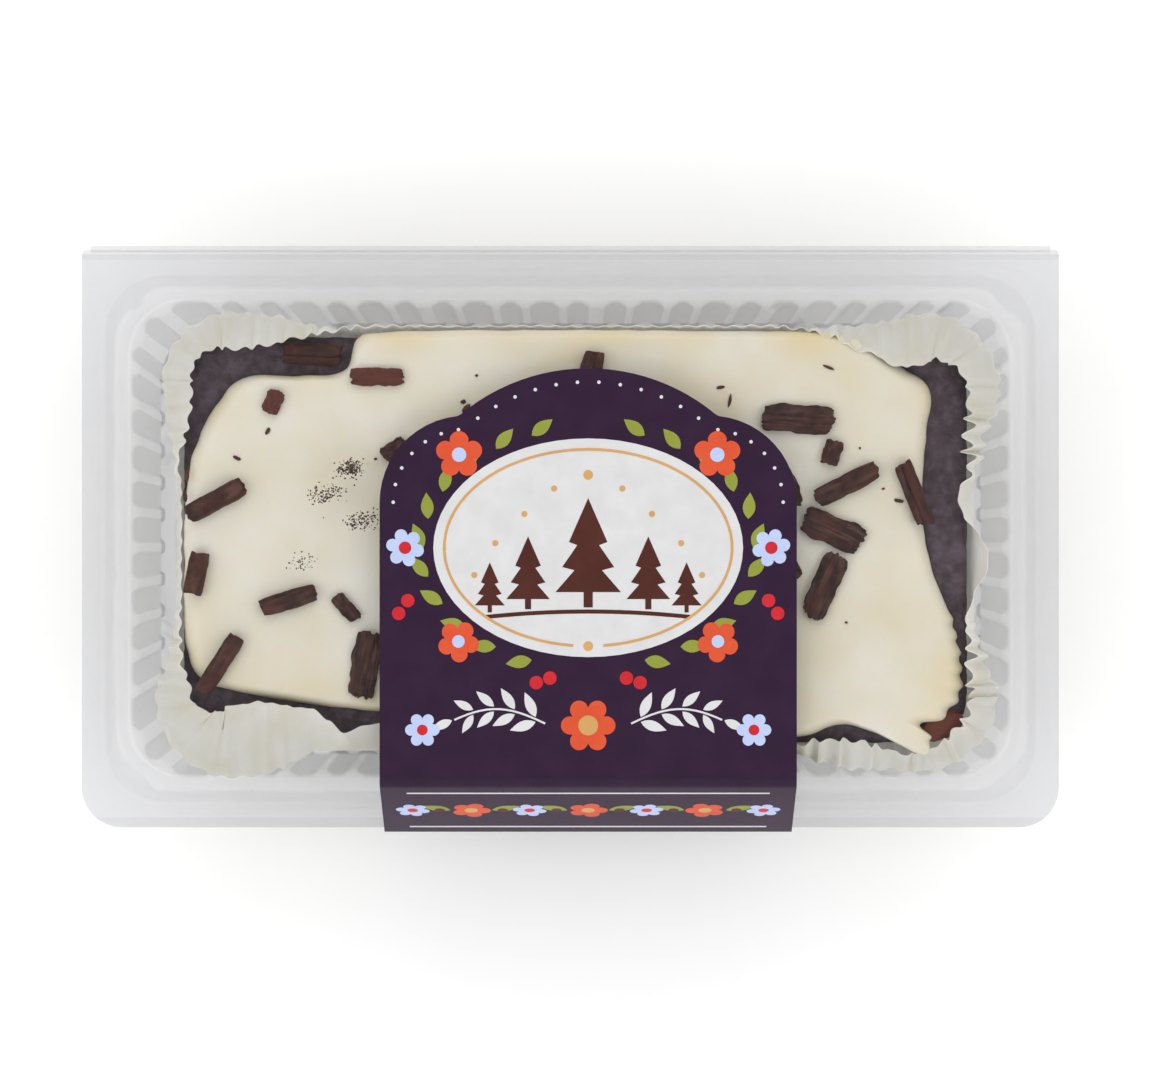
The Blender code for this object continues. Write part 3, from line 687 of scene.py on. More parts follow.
def along_edge(share):
    """The point at a share of the way round the icing's edge, on a smooth curve through its points."""
    count = len(ICING_EDGE_POINTS)
    place = share * count
    i, t = int(place), place - int(place)
    a, b, c, d = (Vector(ICING_EDGE_POINTS[(i + k) % count]) for k in (-1, 0, 1, 2))
    curve = 2 * b + (c - a) * t + (2 * a - 5 * b + 4 * c - d) * t * t + (3 * b - a - 3 * c + d) * t ** 3
    return 0.5 * curve * MM


def icing_top(x, y):
    """The height of the icing's top away from its edge."""
    x, y = x / MM, y / MM
    waves = 0.35 * math.sin(x / 17 + 0.6) * math.cos(y / 14) + 0.25 * math.sin(x / 9 - y / 12)
    strokes = 0.09 * noise.noise(Vector((x / 22, y / 3.4, 0)))
    fall_to_right = 0.9 * max(0.0, (x - 55) / 30) ** 2
    fall_in_front = 0.35 * max(0.0, -y - 42.0) ** 1.2
    return ICING_BASE + ICING_THICKNESS + (waves + strokes - fall_to_right - fall_in_front) * MM


# %% Wrap the icing
ICING_COLUMNS = 420
ICING_ROWS = 46
RIM_STARTS_AT = 0.78
RIM_REACH = 0.955
RIM_TURN = math.radians(125)
# How strongly a yellowish tone is painted in as shade: near the rim, where the icing rolls down, at the back, and at
# the right end, where it falls away.
SHADE_AT_RIM, SHADE_AT_BACK, SHADE_AT_RIGHT = 0.38, 0.42, 0.24


def icing_point(x, y, _):
    """x runs round the edge and y from the middle out, both over the grid's unit square."""
    share, out = (x + 0.5) % 1.0, y + 0.5
    edge_point = along_edge(share)
    wobble = 1 + 0.005 * noise.noise(Vector((edge_point.x, edge_point.y, 0)) / (4 * MM))
    if edge_point.x > 78 * MM and edge_point.y < -14 * MM:
        wobble += 0.005 * math.sin(edge_point.y / MM * math.tau / 3.7) * min(1.0, (-edge_point.y / MM - 14) / 6)
    if out < RIM_STARTS_AT:
        reach, height = RIM_REACH * out / RIM_STARTS_AT, 1.0
    else:
        turn = (out - RIM_STARTS_AT) / (1 - RIM_STARTS_AT) * RIM_TURN
        reach = RIM_REACH + (1 - RIM_REACH) * math.sin(turn)
        height = 0.5 + 0.5 * math.cos(turn * 1.44)
    point = edge_point * reach * wobble
    return Vector((point.x, point.y, ICING_BASE + (icing_top(point.x, point.y) - ICING_BASE) * height))


icing_finish = mottled("icing", ((222, 213, 190), (226, 220, 204), (230, 226, 215)), 22, 0.42, 3.5, 0.1,
                       Subsurface_Weight=0.25, Subsurface_Scale=2.5 * MM, Specular_IOR_Level=0.4)
# The yellowish tone mixed into the icing is painted shade.
tinted_by(icing_finish, "yellow_shade", (222, 204, 152))
icing = add("grid", "icing_top", x_subdivisions=ICING_COLUMNS, y_subdivisions=ICING_ROWS, size=1)
outs = [v.co.y + 0.5 for v in icing.data.vertices]
place_points(icing, icing_point)
# Each point's share of the painted yellow shade, made uneven by a noise.
shade_shares = []
for vert, out in zip(icing.data.vertices, outs):
    x, y = vert.co.x / MM, vert.co.y / MM
    near_rim = min(1.0, max(0.0, (out - 0.6) / 0.25))
    at_back = min(1.0, max(0.0, (y - 27) / 16))
    at_right = min(1.0, max(0.0, (x - 66) / 18)) * min(1.0, max(0.0, (-y - 4) / 20))
    patch = 0.5 + 0.9 * noise.noise(Vector((x / 15, y / 11, 7.0)))
    shade_shares.append((SHADE_AT_RIM * near_rim + SHADE_AT_BACK * at_back + SHADE_AT_RIGHT * at_right) * patch)
store(icing, "yellow_shade", shade_shares)
edit(icing)
bpy.ops.mesh.select_all(action="SELECT")
bpy.ops.mesh.remove_doubles(threshold=0.00002)
choose("edges", lambda edge: len(edge.link_faces) < 2)
bpy.ops.mesh.edge_face_add()
outward()
close_edit()
smooth(icing, 60)
hand_over(icing, "icing", ["icing"], icing_finish)

# %% [markdown]
# ## The paper case
#
# The case is thin white baking paper. It is folded into sharp pleats at its corners, which spread outwards towards
# the rim, and it is smooth along the middle of each side, where the rim waves in and out and leans over the cake. A
# grid is wrapped round the loaf, with the pleats and waves worked out from the distance round it, and Solidify gives
# the paper its thickness. The finish lets some light through, so the rim glows where light is behind it.

# %% Sizes of the paper case
PAPER = 0.12 * MM
PAPER_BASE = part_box("paper_case")[0].z + 0.3 * MM
PLEAT_PITCH = 3.6 * MM
PLEAT_DEPTH_AT_BASE = 0.8 * MM
BULGE_STARTS_AT = 30 * MM
COLLAR_STARTS_AT = 46.5 * MM
PAPER_GAP = 0.35 * MM
PLEAT_DRIFT = 0.3
PLEAT_UNEVENNESS = 0.45
PLEAT_SWAY = 0.55 * MM
RIM_WAVE = 1.1
RIM_TOOTH = 0.7
PAPER_COLUMNS = 1200
PAPER_ROWS = 30
# How far the rim leans out from the loaf, or in over it where negative, its height, how deep its pleats are and how far
# the wall bulges below it, in mm: the right side from front to back, the back from right to left, the left side from
# back to front and the front from left to right.
RIM_ON_SIDE = (
    ((-34, -1.6, 56, 2.2, 6), (-30, -1.9, 56, 2.6, 4), (-24, -2.0, 56.5, 3.0, 1.8), (-20.5, -2.0, 57, 1.6, 0.5),
     (-17.5, -2.0, 57, 0.1, 0.5), (-12, 0, 57, 0, 0.5), (-6, 3.2, 56, 0, 0.5), (-2.5, 3.4, 55.5, 0, 0.5),
     (1, 1.4, 56, 0, 0.5), (5.5, -2.2, 57, 0, 0.5), (9, -3.6, 57.5, 0, 0.5), (12, -3.2, 57.5, 0, 0.5),
     (14.8, -0.6, 57, 0.5, 0.5), (16.6, -2.2, 56.5, 3, 0.5), (20, -3.0, 56.5, 4.4, 0.8), (24.5, -2.4, 56.5, 3.4, 3.0),
     (28, -2.2, 56.5, 2.2, 5.5), (34, -2.6, 57, 1.6, 6.5)),
    ((76, -8.2, 57, 1.3, 4.5), (70, -8.2, 57, 1.2, 2.8), (64, -5.5, 57, 1.2, 1.8), (56, -1.8, 56.5, 1.2, 1),
     (50, 0.3, 55, 1.0, 0.5), (42, 1.2, 54, 0.4, 0), (10, 1.3, 53.5, 0.3, 0), (-30, 1.3, 53.5, 0.3, 0),
     (-44, 1.2, 54, 0.6, 0), (-50, 0.6, 55, 0.9, 0.5), (-56, -0.8, 56, 1.1, 1.2), (-61, -2.5, 56.5, 1.2, 2.4),
     (-66, -3.6, 57, 1.3, 4), (-76, -3.8, 57, 1.3, 4.8)),
    ((34, -3.8, 57, 1.3, 4), (28, -3.4, 57, 1.3, 3), (22, -2.2, 56, 1.2, 2), (17.5, -0.4, 55, 1.0, 1.2),
     (12, -0.9, 54, 0.4, 1.0), (-10, -0.9, 54, 0.4, 0.8), (-19, -0.9, 54.5, 0.8, 1.2), (-26, -1.4, 56, 1.2, 2.8),
     (-34, -4, 57, 1.3, 5.5)),
    ((-76, -10.6, 57.5, 1.3, 7), (-70, -10.2, 58, 1.1, 6.5), (-65, -9.6, 58, 0.8, 5), (-61, -9.2, 58, 0.4, 3),
     (-57.5, -8.6, 58, 0, 1), (-54, -6, 58, 0, 1), (-50.7, -3.2, 57, 0, 1), (-46, -5, 57.5, 0, 1),
     (-41, -5.8, 57.5, 0, 1), (-30, -3, 57, 0, 0.5), (0, 0.8, 53, 0.3, 0), (40, 0.8, 53, 0.5, 0),
     (48, -0.6, 54, 1.0, 1.5), (54, -2.4, 55, 1.6, 3.5), (60, -2.8, 55.5, 1.8, 5), (66, -1.2, 54, 2, 5.5),
     (71, -0.8, 52.8, 2, 5.5), (76, -1.4, 53.2, 1.8, 6)),
)


def round_the_loaf(run, half_x, half_y, radius):
    """(point, normal, side) at a share of the way round a rounded rectangle."""
    long_side, short_side, corner = 2 * (half_x - radius), 2 * (half_y - radius), math.pi * radius / 2
    pieces = [short_side, corner, long_side, corner] * 2
    at = run * sum(pieces)
    for side, length in enumerate(pieces):
        if at <= length or side == 7:
            break
        at -= length
    quarter, turning = divmod(side, 2)
    angle = quarter * math.pi / 2 + (at / radius if turning else 0.0)
    normal = Vector((math.cos(angle), math.sin(angle)))
    corners = ((1, -1), (1, 1), (-1, 1), (-1, -1))
    ahead = Vector((-math.sin(quarter * math.pi / 2), math.cos(quarter * math.pi / 2)))
    start_corner = corners[(quarter + 1) % 4] if turning else corners[quarter]
    centre = Vector((start_corner[0] * (half_x - radius), start_corner[1] * (half_y - radius)))
    point = centre + normal * radius + (Vector((0, 0)) if turning else ahead * at)
    return point, normal, side


# %% Fold the paper
def between(table, at):
    """A row of the table at a place along a side, smoothly between its rows."""
    rows = sorted(table)
    for low, high in zip(rows, rows[1:]):
        if at <= high[0]:
            break
    t = min(1.0, max(0.0, (at - low[0]) / (high[0] - low[0])))
    t = t * t * (3 - 2 * t)
    return [a + (b - a) * t for a, b in zip(low[1:], high[1:])]


def rim_at(side, point):
    """The rim's lean and height, the depth of its pleats and the bulge at a point of the loaf's outline."""
    quarter, turning = divmod(side, 2)
    if not turning:
        return between(RIM_ON_SIDE[quarter], (point.y if quarter in (0, 2) else point.x) / MM)
    before, after = RIM_ON_SIDE[quarter][-1][1:], RIM_ON_SIDE[(quarter + 1) % 4][0][1:]
    centre = Vector((math.copysign(CAKE_HALF.x - CAKE_CORNER_RADIUS, point.x),
                     math.copysign(CAKE_HALF.y - CAKE_CORNER_RADIUS, point.y)))
    turn = math.atan2(point.y - centre.y, point.x - centre.x) % (math.pi / 2)
    t = turn / (math.pi / 2)
    return [a + (b - a) * t for a, b in zip(before, after)]


def paper_point(x, y, _):
    """x runs round the loaf and y from the base up, both over the grid's unit square."""
    run, up = (x + 0.5) % 1.0, y + 0.5
    radius = CAKE_CORNER_RADIUS
    full_run = 4 * (CAKE_HALF.x + CAKE_HALF.y) - (8 - math.tau) * radius
    top_point, _, side = round_the_loaf(run, CAKE_HALF.x, CAKE_HALF.y, radius)
    lean, rim_height, rim_depth, bulge = rim_at(side, top_point)
    fold = run * full_run / PLEAT_PITCH
    fold += PLEAT_DRIFT * noise.noise(Vector((fold / 2.3, 0, 0)))
    pleated = min(1.0, rim_depth / 2)
    zigzag = 1 - abs(2 * (fold % 1.0) - 1)
    curl = 0.5 - 0.5 * math.cos(math.tau * fold)
    zigzag = zigzag + (curl - zigzag) * up
    uneven = 1 + PLEAT_UNEVENNESS * noise.noise(Vector((int(fold) * 1.7, 3.0, 0)))
    height = PAPER_BASE + (rim_height * MM - PAPER_BASE) * up ** 0.85
    height += up ** 6 * MM * (RIM_WAVE * noise.noise(Vector((run * 40, 5.0, 0)))
                              + RIM_TOOTH * pleated * (zigzag - 0.5) * uneven)
    taper = min(1.0, height / CAKE_TOP)
    half_x = CAKE_HALF.x - CAKE_TAPER[0] * (1 - taper) + PAPER_GAP
    half_y = CAKE_HALF.y - CAKE_TAPER[1] * (1 - taper) + PAPER_GAP
    point, normal, _ = round_the_loaf(run, half_x, half_y, radius)
    start = COLLAR_STARTS_AT if lean > 0 else CAKE_TOP + 0.4 * MM
    out = lean * MM * max(0.0, (height - start) / (rim_height * MM - start))
    collar = min(1.0, max(0.0, (height - COLLAR_STARTS_AT) / (rim_height * MM - COLLAR_STARTS_AT)))
    swollen = min(1.0, max(0.0, (height - BULGE_STARTS_AT) / (rim_height * MM - BULGE_STARTS_AT)))
    out += bulge * MM * math.sin(math.pi * swollen ** 1.4)
    depth = PLEAT_DEPTH_AT_BASE * pleated + (rim_depth * MM - PLEAT_DEPTH_AT_BASE * pleated) * collar
    out += depth * uneven * zigzag
    place = point + Vector((CAKE_CENTRE.x, CAKE_CENTRE.y)) + normal * out
    sway = math.sin(math.tau * fold * 0.5 + 3 * noise.noise(Vector((fold / 4, 1, 0))))
    sideways = PLEAT_SWAY * pleated * up * sway
    place += Vector((-normal.y, normal.x)) * sideways
    return Vector((place.x, place.y, height))


paper_finish = mottled("baking_paper", ((229, 223, 200), (234, 230, 214), (239, 236, 225)), 9, 0.55, 0.8, 0.05,
                       Subsurface_Weight=0.5, Subsurface_Scale=1.5 * MM,
                       Subsurface_Radius=(1.0, 0.97, 0.9), Specular_IOR_Level=0.3)
paper = add("grid", "paper_case_folded", x_subdivisions=PAPER_COLUMNS, y_subdivisions=PAPER_ROWS, size=1)
place_points(paper, paper_point)
edit(paper)
bpy.ops.mesh.select_all(action="SELECT")
bpy.ops.mesh.remove_doubles(threshold=MERGE_DISTANCE)
choose("edges", lambda edge: len(edge.link_faces) < 2 and edge.verts[0].co.z < PAPER_BASE + 0.1 * MM)
bpy.ops.mesh.edge_face_add()
outward()
close_edit()
apply_modifier(paper, "SOLIDIFY", thickness=PAPER, offset=1, use_even_offset=False)
smooth(paper, 28)
hand_over(paper, "baking_paper", ["paper_case"], paper_finish)

# %% [markdown]
# ## The chocolate
#
# The curls were planed off a block: thin sheets that roll up as they come off the blade, with ragged ends and fine
# ridges along the cut. Each is made from a grid that is bent, tightly for a roll and barely for a flat shard, and
# thickened. The CAD solid that it replaces gives its place, direction and size. Two numbers stored at each point of
# the mesh tint the finish: bloom, the pale film that old chocolate gets, and redness, as of a fresh cut.

# %% Dark chocolate
chocolate = mottled("dark_chocolate", ((30, 13, 11), (46, 24, 20), (66, 40, 35)), 1.6, 0.55, 0.4, 0.12,
                    Specular_IOR_Level=0.2)
tinted_by(chocolate, "bloom", (98, 72, 62))
tinted_by(chocolate, "redness", (106, 54, 42))


# %% Read a piece's place from the frame
def lie_of(node):
    """The middle, direction, length and width in plan of a CAD solid, and its lowest and highest point."""
    points = [Vector((v.co.x, v.co.y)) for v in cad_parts[node].data.vertices]
    middle = sum(points, Vector((0, 0))) / len(points)
    spread = [(p.x - middle.x, p.y - middle.y) for p in points]
    xx, yy, xy = (sum(a * b for a, b in pairs) for pairs in (
        [(x, x) for x, _ in spread], [(y, y) for _, y in spread], spread))
    turn = 0.5 * math.atan2(2 * xy, xx - yy)
    along = Vector((math.cos(turn), math.sin(turn)))
    across = Vector((-along.y, along.x))
    length, width = (2 * max(abs((p - middle).dot(axis)) for p in points) for axis in (along, across))
    low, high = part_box(node)
    return middle, turn, length, width, low.z, high.z


# %% Bend the curls
CURL_THICKNESS = 0.8 * MM
CURL_SINK = 0.45 * MM
ROLL_HEIGHT_MIN = 2.4 * MM
CURL_EDGE_RADIUS = 0.16 * MM
ROLL_SWEEP = (400, 500)
SKEW_MAX = 0.14


def make_curl(node, seed):
    """A roll where the CAD solid is high, otherwise a bent shard, both with ragged ends and rounded corners."""
    middle, turn, length, width, low, high = lie_of(node)
    rolled = high - low > ROLL_HEIGHT_MIN
    draw = random.Random(seed)
    sweep = math.radians(draw.uniform(*ROLL_SWEEP))
    starts_at = math.radians(draw.choice((62, 118)) + draw.uniform(-12, 12))
    shift = Vector((draw.uniform(0, 50), draw.uniform(0, 50), seed))
    skew = draw.uniform(-SKEW_MAX, SKEW_MAX)
    curl = add("grid", f"{node}_curl", x_subdivisions=44, y_subdivisions=44 if rolled else 24, size=1)
    flat = [v.co.copy() for v in curl.data.vertices]

    def rough(x, y, z=0.0):
        return noise.noise(Vector((x, y, z)) + shift)

    def bend(x, y, _):
        ragged = 1 + 0.13 * rough(y * 5, 0) + 0.08 * rough(y * 17, 4, math.copysign(3, x))
        along = x * length * ragged * (1 - 0.10 * abs(2 * y) ** 4) + skew * y * width
        narrowing = 1 - 0.16 * abs(2 * x) ** 5 + 0.10 * rough(x * 3, 9) + 0.05 * rough(x * 13, 2)
        if rolled:
            around = starts_at + (y + 0.5) * sweep
            radius = 0.5 * width * (0.98 - 0.5 * (y + 0.5)) * narrowing
            squash = (high - low) / width * 1.1
            side, up = radius * math.cos(around), radius * math.sin(around) * squash + 0.5 * (high - low)
            along = x * length * (1 + 0.16 * rough(y * 4, 0) + 0.07 * rough(y * 15, 4, math.copysign(3, x)))
        else:
            side = y * width * narrowing * (1.06 + 0.12 * rough(x * 5, 6, math.copysign(3, y)))
            up = 0.5 * (high - low) + 0.35 * MM * math.cos(y * 2.6) + 0.5 * MM * rough(x * 1.5, 1)
        up += 0.16 * MM * rough(x * 3, y * 26) + 0.32 * MM * rough(x * 4, y * 3)
        px = middle.x + along * math.cos(turn) - side * math.sin(turn)
        py = middle.y + along * math.sin(turn) + side * math.cos(turn)
        return Vector((px, py, low - CURL_SINK + up))

    place_points(curl, bend)
    at_back_left = middle.x < -30 * MM and middle.y > 28 * MM
    redness = 0.15 if rolled else 0.6 if at_back_left else 0.05
    store(curl, "redness", [redness + 0.4 * rough(p.x * 2, p.y * 3, 5) for p in flat])
    dulled = -0.7 if at_back_left and rolled else 0.08
    store(curl, "bloom", [dulled + 0.8 * rough(p.x * 2.2, p.y * 15, 8) + 0.4 * rough(p.x * 4, p.y * 3, 2)
                          for p in flat])
    apply_modifier(curl, "SOLIDIFY", thickness=CURL_THICKNESS, offset=0)
    apply_modifier(curl, "BEVEL", width=CURL_EDGE_RADIUS, segments=2, limit_method="ANGLE",
                   angle_limit=math.radians(50))
    smooth(curl, 40)
    hand_over(curl, "chocolate", [node], chocolate)


curl_nodes = sorted(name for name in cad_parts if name.startswith("chocolate"))
for number, node in enumerate(curl_nodes):
    make_curl(node, number + 1)

# %% [markdown]
# Small chips of chocolate lie on the icing between the curls. Fine crumbs were rubbed off where curls have touched
# the lid, and stick under it in dark smears. A chip or crumb is an icosphere that is squashed, turned and roughened.

# %% Chips and crumbs
# Each chip's place, length and width in mm, and how far it is turned in degrees.
CHIPS = (
    (-66.8, 23.7, 1.7, 0.9, 60), (-73.6, 17.8, 1.9, 0.8, -25), (-22.8, 28.8, 2.4, 1.3, 40), (-23.6, 30.2, 1.3, 0.9, 10),
    (57.0, 37.8, 2.9, 0.7, -20), (72.6, 8.4, 2.3, 0.8, -10), (69.2, 11.0, 0.8, 0.6, 0), (33.2, 33.4, 2.0, 0.8, 15),
    (35.3, 30.6, 3.0, 0.7, 82), (-41.6, 19.6, 1.2, 0.8, 70), (-43.0, 17.6, 0.8, 0.6, 0), (76.0, 6.0, 1.0, 0.6, 30),
    (61.0, -18.5, 0.8, 0.6, 0), (64.0, 20.0, 0.6, 0.5, 0), (-20.6, 36.0, 0.8, 0.6, 0), (-84.6, 14.0, 3.4, 1.1, 88),
    (-85.0, 9.4, 2.6, 0.9, 95),
)
# Each smear's middle, its length and width in mm, and how many crumbs are in it.
SMEARS = (
    (-48.2, 15.6, 3.4, 2.0, 260), (-53.6, 9.8, 4.4, 2.2, 170), (-45.4, 3.8, 5.4, 2.2, 170),
    (-58.5, -5.0, 3.2, 2.4, 50),
)
CRUMB_HEIGHT = 0.25
CRUMBS_AT = LID_TOP - FILM - 0.17 * MM
CHIP_HEIGHT = 0.7
CHIP_LIFT = 0.15 * MM
# The one large chip lies on the paper's fold at the front right, and is redder than the rest.
LARGE_CHIP_PLACE = Vector((82.6, -41.4, 52.4)) * MM
LARGE_CHIP_SIZE = (9.6, 5.2, 1.4)
LARGE_CHIP_TURN = 24


def add_bit(name, place, length, width, height, turn, draw):
    """A small roughened lump at a place in metres, with its sizes in mm and its turn in degrees."""
    bit = add("ico_sphere", name, subdivisions=2 if length > 1.0 else 1, radius=0.5)
    shift = Vector((draw.uniform(0, 90), draw.uniform(0, 90), 0))
    c, n = math.cos(math.radians(turn)), math.sin(math.radians(turn))

    def lump(x, y, z):
        grown = 1 + 0.5 * noise.noise(Vector((x, y, z)) * 2.2 + shift)
        x, y = x * length * grown, y * width * grown
        return place + Vector((x * c - y * n, x * n + y * c, z * height)) * MM

    place_points(bit, lump)
    return bit


draw = random.Random(77)
chips = []
for x, y, length, width, turn in CHIPS:
    on_icing = Vector((x * MM, y * MM, icing_top(x * MM, y * MM) + CHIP_LIFT))
    chips.append(add_bit("chip", on_icing, length, width, CHIP_HEIGHT, turn, draw))
chips.append(add_bit("chip", LARGE_CHIP_PLACE, *LARGE_CHIP_SIZE, LARGE_CHIP_TURN, draw))
chips = join(chips, "chocolate_chips")
store(chips, "bloom", [0.2] * len(chips.data.vertices))
store(chips, "redness", [0.8 if v.co.x > 77 * MM and v.co.y < -35 * MM else 0.35 for v in chips.data.vertices])
smooth(chips, 60)
hand_over(chips, "chocolate", [], chocolate)

crumbs = []
for x, y, along, across, count in SMEARS:
    for _ in range(count):
        u, v = draw.gauss(0, 0.45) * along, draw.gauss(0, 0.45) * across
        spot = Vector(((x + u) * MM, (y + v + 0.12 * u) * MM, CRUMBS_AT))
        size = draw.uniform(0.12, 0.42)
        crumbs.append(add_bit("crumb", spot, size * 1.4, size, CRUMB_HEIGHT, draw.uniform(0, 180), draw))
crumbs = join(crumbs, "crumbs_under_lid")
store(crumbs, "bloom", [0.3] * len(crumbs.data.vertices))
store(crumbs, "redness", [0.0] * len(crumbs.data.vertices))
hand_over(crumbs, "chocolate", [], chocolate)

# %% [markdown]
# ## The card band
#
# The band is printed card. Its top end is die-cut: an arched crown between two round shoulders. A circle primitive
# with as many points as the outline needs is filled, and its points are moved onto the outline. The straight front
# edge is then extruded along the band's side view: over the fold, down the lid's front, round the flange, back to the
# tray's foot and under its floor. Solidify gives the card its thickness, with a white cut edge.

# %% Outline of the top panel
CARD = 0.35 * MM
CARD_LOW, CARD_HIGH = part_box("card")
CARD_TOP = CARD_HIGH.z - 0.06 * MM
CARD_CENTRE_X = (CARD_LOW.x + CARD_HIGH.x) / 2
CARD_HALF_WIDTH = (CARD_HIGH.x - CARD_LOW.x) / 2
ARCH_Y = CARD_HIGH.y
SHOULDER_Y = 8.0 * MM
SHOULDER_RADIUS = 19.0 * MM
SHOULDER_SWEEP = 84
CROWN_HALF_WIDTH = 28.0 * MM
FOLD_Y = -54.0 * MM


def arc(centre, radius, start, end, steps):
    angles = [math.radians(start + (end - start) * i / steps) for i in range(steps + 1)]
    return [Vector((centre[0] + radius * math.cos(a), centre[1] + radius * math.sin(a))) for a in angles]


def arched_end(inset):
    """The band's arched end about its own middle line, from right to left, moved in by inset."""
    shoulder_x = CARD_HALF_WIDTH - SHOULDER_RADIUS
    shoulder = arc((shoulder_x, SHOULDER_Y), SHOULDER_RADIUS - inset, 0, SHOULDER_SWEEP, 12)
    crown_foot = SHOULDER_Y + SHOULDER_RADIUS * math.sin(math.radians(SHOULDER_SWEEP)) + 0.4 * MM
    rise = ARCH_Y - crown_foot
    radius = (CROWN_HALF_WIDTH ** 2 + rise ** 2) / (2 * rise)
    half_angle = math.degrees(math.asin(CROWN_HALF_WIDTH / radius))
    crown = arc((0, ARCH_Y - radius), radius - inset, 90 - half_angle, 90 + half_angle, 24)
    if inset:
        shoulder = [p for p in shoulder if p.x > crown[0].x + 0.3 * MM]
    return shoulder + crown + [Vector((-p.x, p.y)) for p in reversed(shoulder)]


# %% Fold the band
# Places in the band's side view are (y, z).
SLOPE_FOOT = (-65.65 * MM, 35.3 * MM)
FLANGE_FOOT_Z = 33.4 * MM
TRAY_FOOT_Y = -50.3 * MM
UNDER_TRAY_Z = 0.68 * MM
UNDER_END_Y = -6.0 * MM
WIDE_FOLD, TIGHT_FOLD = 1.6 * MM, 0.5 * MM


def bend_round(corner, before, after, radius, steps=4):
    """Points of a soft fold at corner in the band's side view, between the directions to its neighbours."""
    corner, before, after = Vector(corner), Vector(before), Vector(after)
    start = corner + (before - corner).normalized() * radius
    end = corner + (after - corner).normalized() * radius
    return [start.lerp(corner, t).lerp(corner.lerp(end, t), t) for t in (i / steps for i in range(steps + 1))]


inner_top = CARD_TOP - CARD
side_view = [(FOLD_Y, inner_top), SLOPE_FOOT, (SLOPE_FOOT[0], FLANGE_FOOT_Z), (TRAY_FOOT_Y, UNDER_TRAY_Z),
             (UNDER_END_Y, UNDER_TRAY_Z)]
folded = []
for i, corner in enumerate(side_view[:-1]):
    before = side_view[i - 1] if i else (0.0, inner_top)
    folded += bend_round(corner, before, side_view[i + 1], WIDE_FOLD if i in (0, 3) else TIGHT_FOLD)
folded.append(Vector(side_view[-1]))

outline = [(CARD_HALF_WIDTH, folded[0].x), *arched_end(0.0), (-CARD_HALF_WIDTH, folded[0].x)]
outline = [Vector(p) for p in outline]
band = add("circle", "card_band", vertices=len(outline), radius=1, fill_type="NGON")
for vert, point in zip(band.data.vertices, outline):
    vert.co = (point.x + CARD_CENTRE_X, point.y, inner_top)
edit(band)
choose("edges", lambda edge: all(abs(v.co.y - folded[0].x) < 0.01 * MM for v in edge.verts))
for before, after in zip(folded, folded[1:]):
    bpy.ops.mesh.extrude_region_move(
        TRANSFORM_OT_translate={"value": (0, after.x - before.x, after.y - before.y)})
bpy.ops.mesh.select_all(action="SELECT")
bpy.ops.mesh.normals_make_consistent(inside=False)
close_edit()
if band.data.polygons[0].normal.z < 0:
    band.data.flip_normals()

purple = mottled("purple_print", ((42, 22, 46), (47, 26, 51)), 7, 0.45, 0.6, 0.01, Specular_IOR_Level=0.15)
board = mottled("card_board", ((205, 203, 198), (222, 221, 217)), 1.5, 0.8, 0.3, 0.04)
band.data.materials.append(purple)
band.data.materials.append(board)
apply_modifier(band, "SOLIDIFY", thickness=CARD, offset=1, material_offset=1, material_offset_rim=1)
smooth(band, 40)
hand_over(band, "printed_card", ["card"], purple, board)

# %% [markdown]
# ## The print
#
# Print is a few flat inks, one laid over the other. Each ink is a piece of its own: its shapes are closed flat curves,
# filled and extruded by a few hundredths of a millimetre and made a mesh, a hair above the ink below. The design is a
# plain one: an oval with fir trees in a wreath of leaves, blossoms and berries, drawn by small functions that each
# return an outline in mm.

# %% Small outlines in mm
def turned(points, x, y, degrees=0.0, size=1.0, mirror=False):
    """The points turned, sized, optionally mirrored, and moved to x, y."""
    a = math.radians(degrees)
    made = []
    for p in points:
        px, py = p[0] * size, p[1] * size
        qx, qy = px * math.cos(a) - py * math.sin(a) + x, px * math.sin(a) + py * math.cos(a) + y
        made.append(Vector((-qx if mirror else qx, qy)))
    return made


def dot(radius, points=14):
    return [Vector((radius * math.cos(math.tau * i / points), radius * math.sin(math.tau * i / points)))
            for i in range(points)]


def leaf(length, width):
    """A pointed leaf from the origin along +X."""
    top = [Vector((length * t, 0.5 * width * math.sin(math.pi * t ** 0.85))) for t in (i / 8 for i in range(9))]
    return top + [Vector((p.x, -p.y)) for p in reversed(top[1:-1])]


def blossom(radius, petals=5, points=60):
    angles = [math.tau * i / points for i in range(points)]
    return [Vector((math.cos(a), math.sin(a))) * radius * (0.66 + 0.34 * abs(math.cos(petals * a / 2)) ** 0.7)
            for a in angles]


def fir(height, width, tiers=3):
    """A fir tree on the origin: tiers of boughs on a short trunk."""
    right = [Vector((0.07 * width, 0)), Vector((0.07 * width, 0.14 * height))]
    for tier in range(tiers):
        low = 0.14 + 0.86 * tier / tiers * 0.8
        reach = 0.5 * width * (1 - tier / tiers * 0.62)
        right.append(Vector((reach, low * height)))
        if tier < tiers - 1:
            right.append(Vector((reach * 0.42, (low + 0.2) * height)))
    right.append(Vector((0.001, height)))
    return right + [Vector((-p.x - 0.002, p.y)) for p in reversed(right[:-1])]


def strip(points, width):
    """A band of even width along a line of points."""
    points = [Vector(p) for p in points]
    left, right = [], []
    for i, p in enumerate(points):
        ahead = (points[min(i + 1, len(points) - 1)] - points[max(i - 1, 0)]).normalized()
        normal = Vector((-ahead.y, ahead.x)) * width / 2
        left.append(p + normal)
        right.append(p - normal)
    return left + right[::-1]


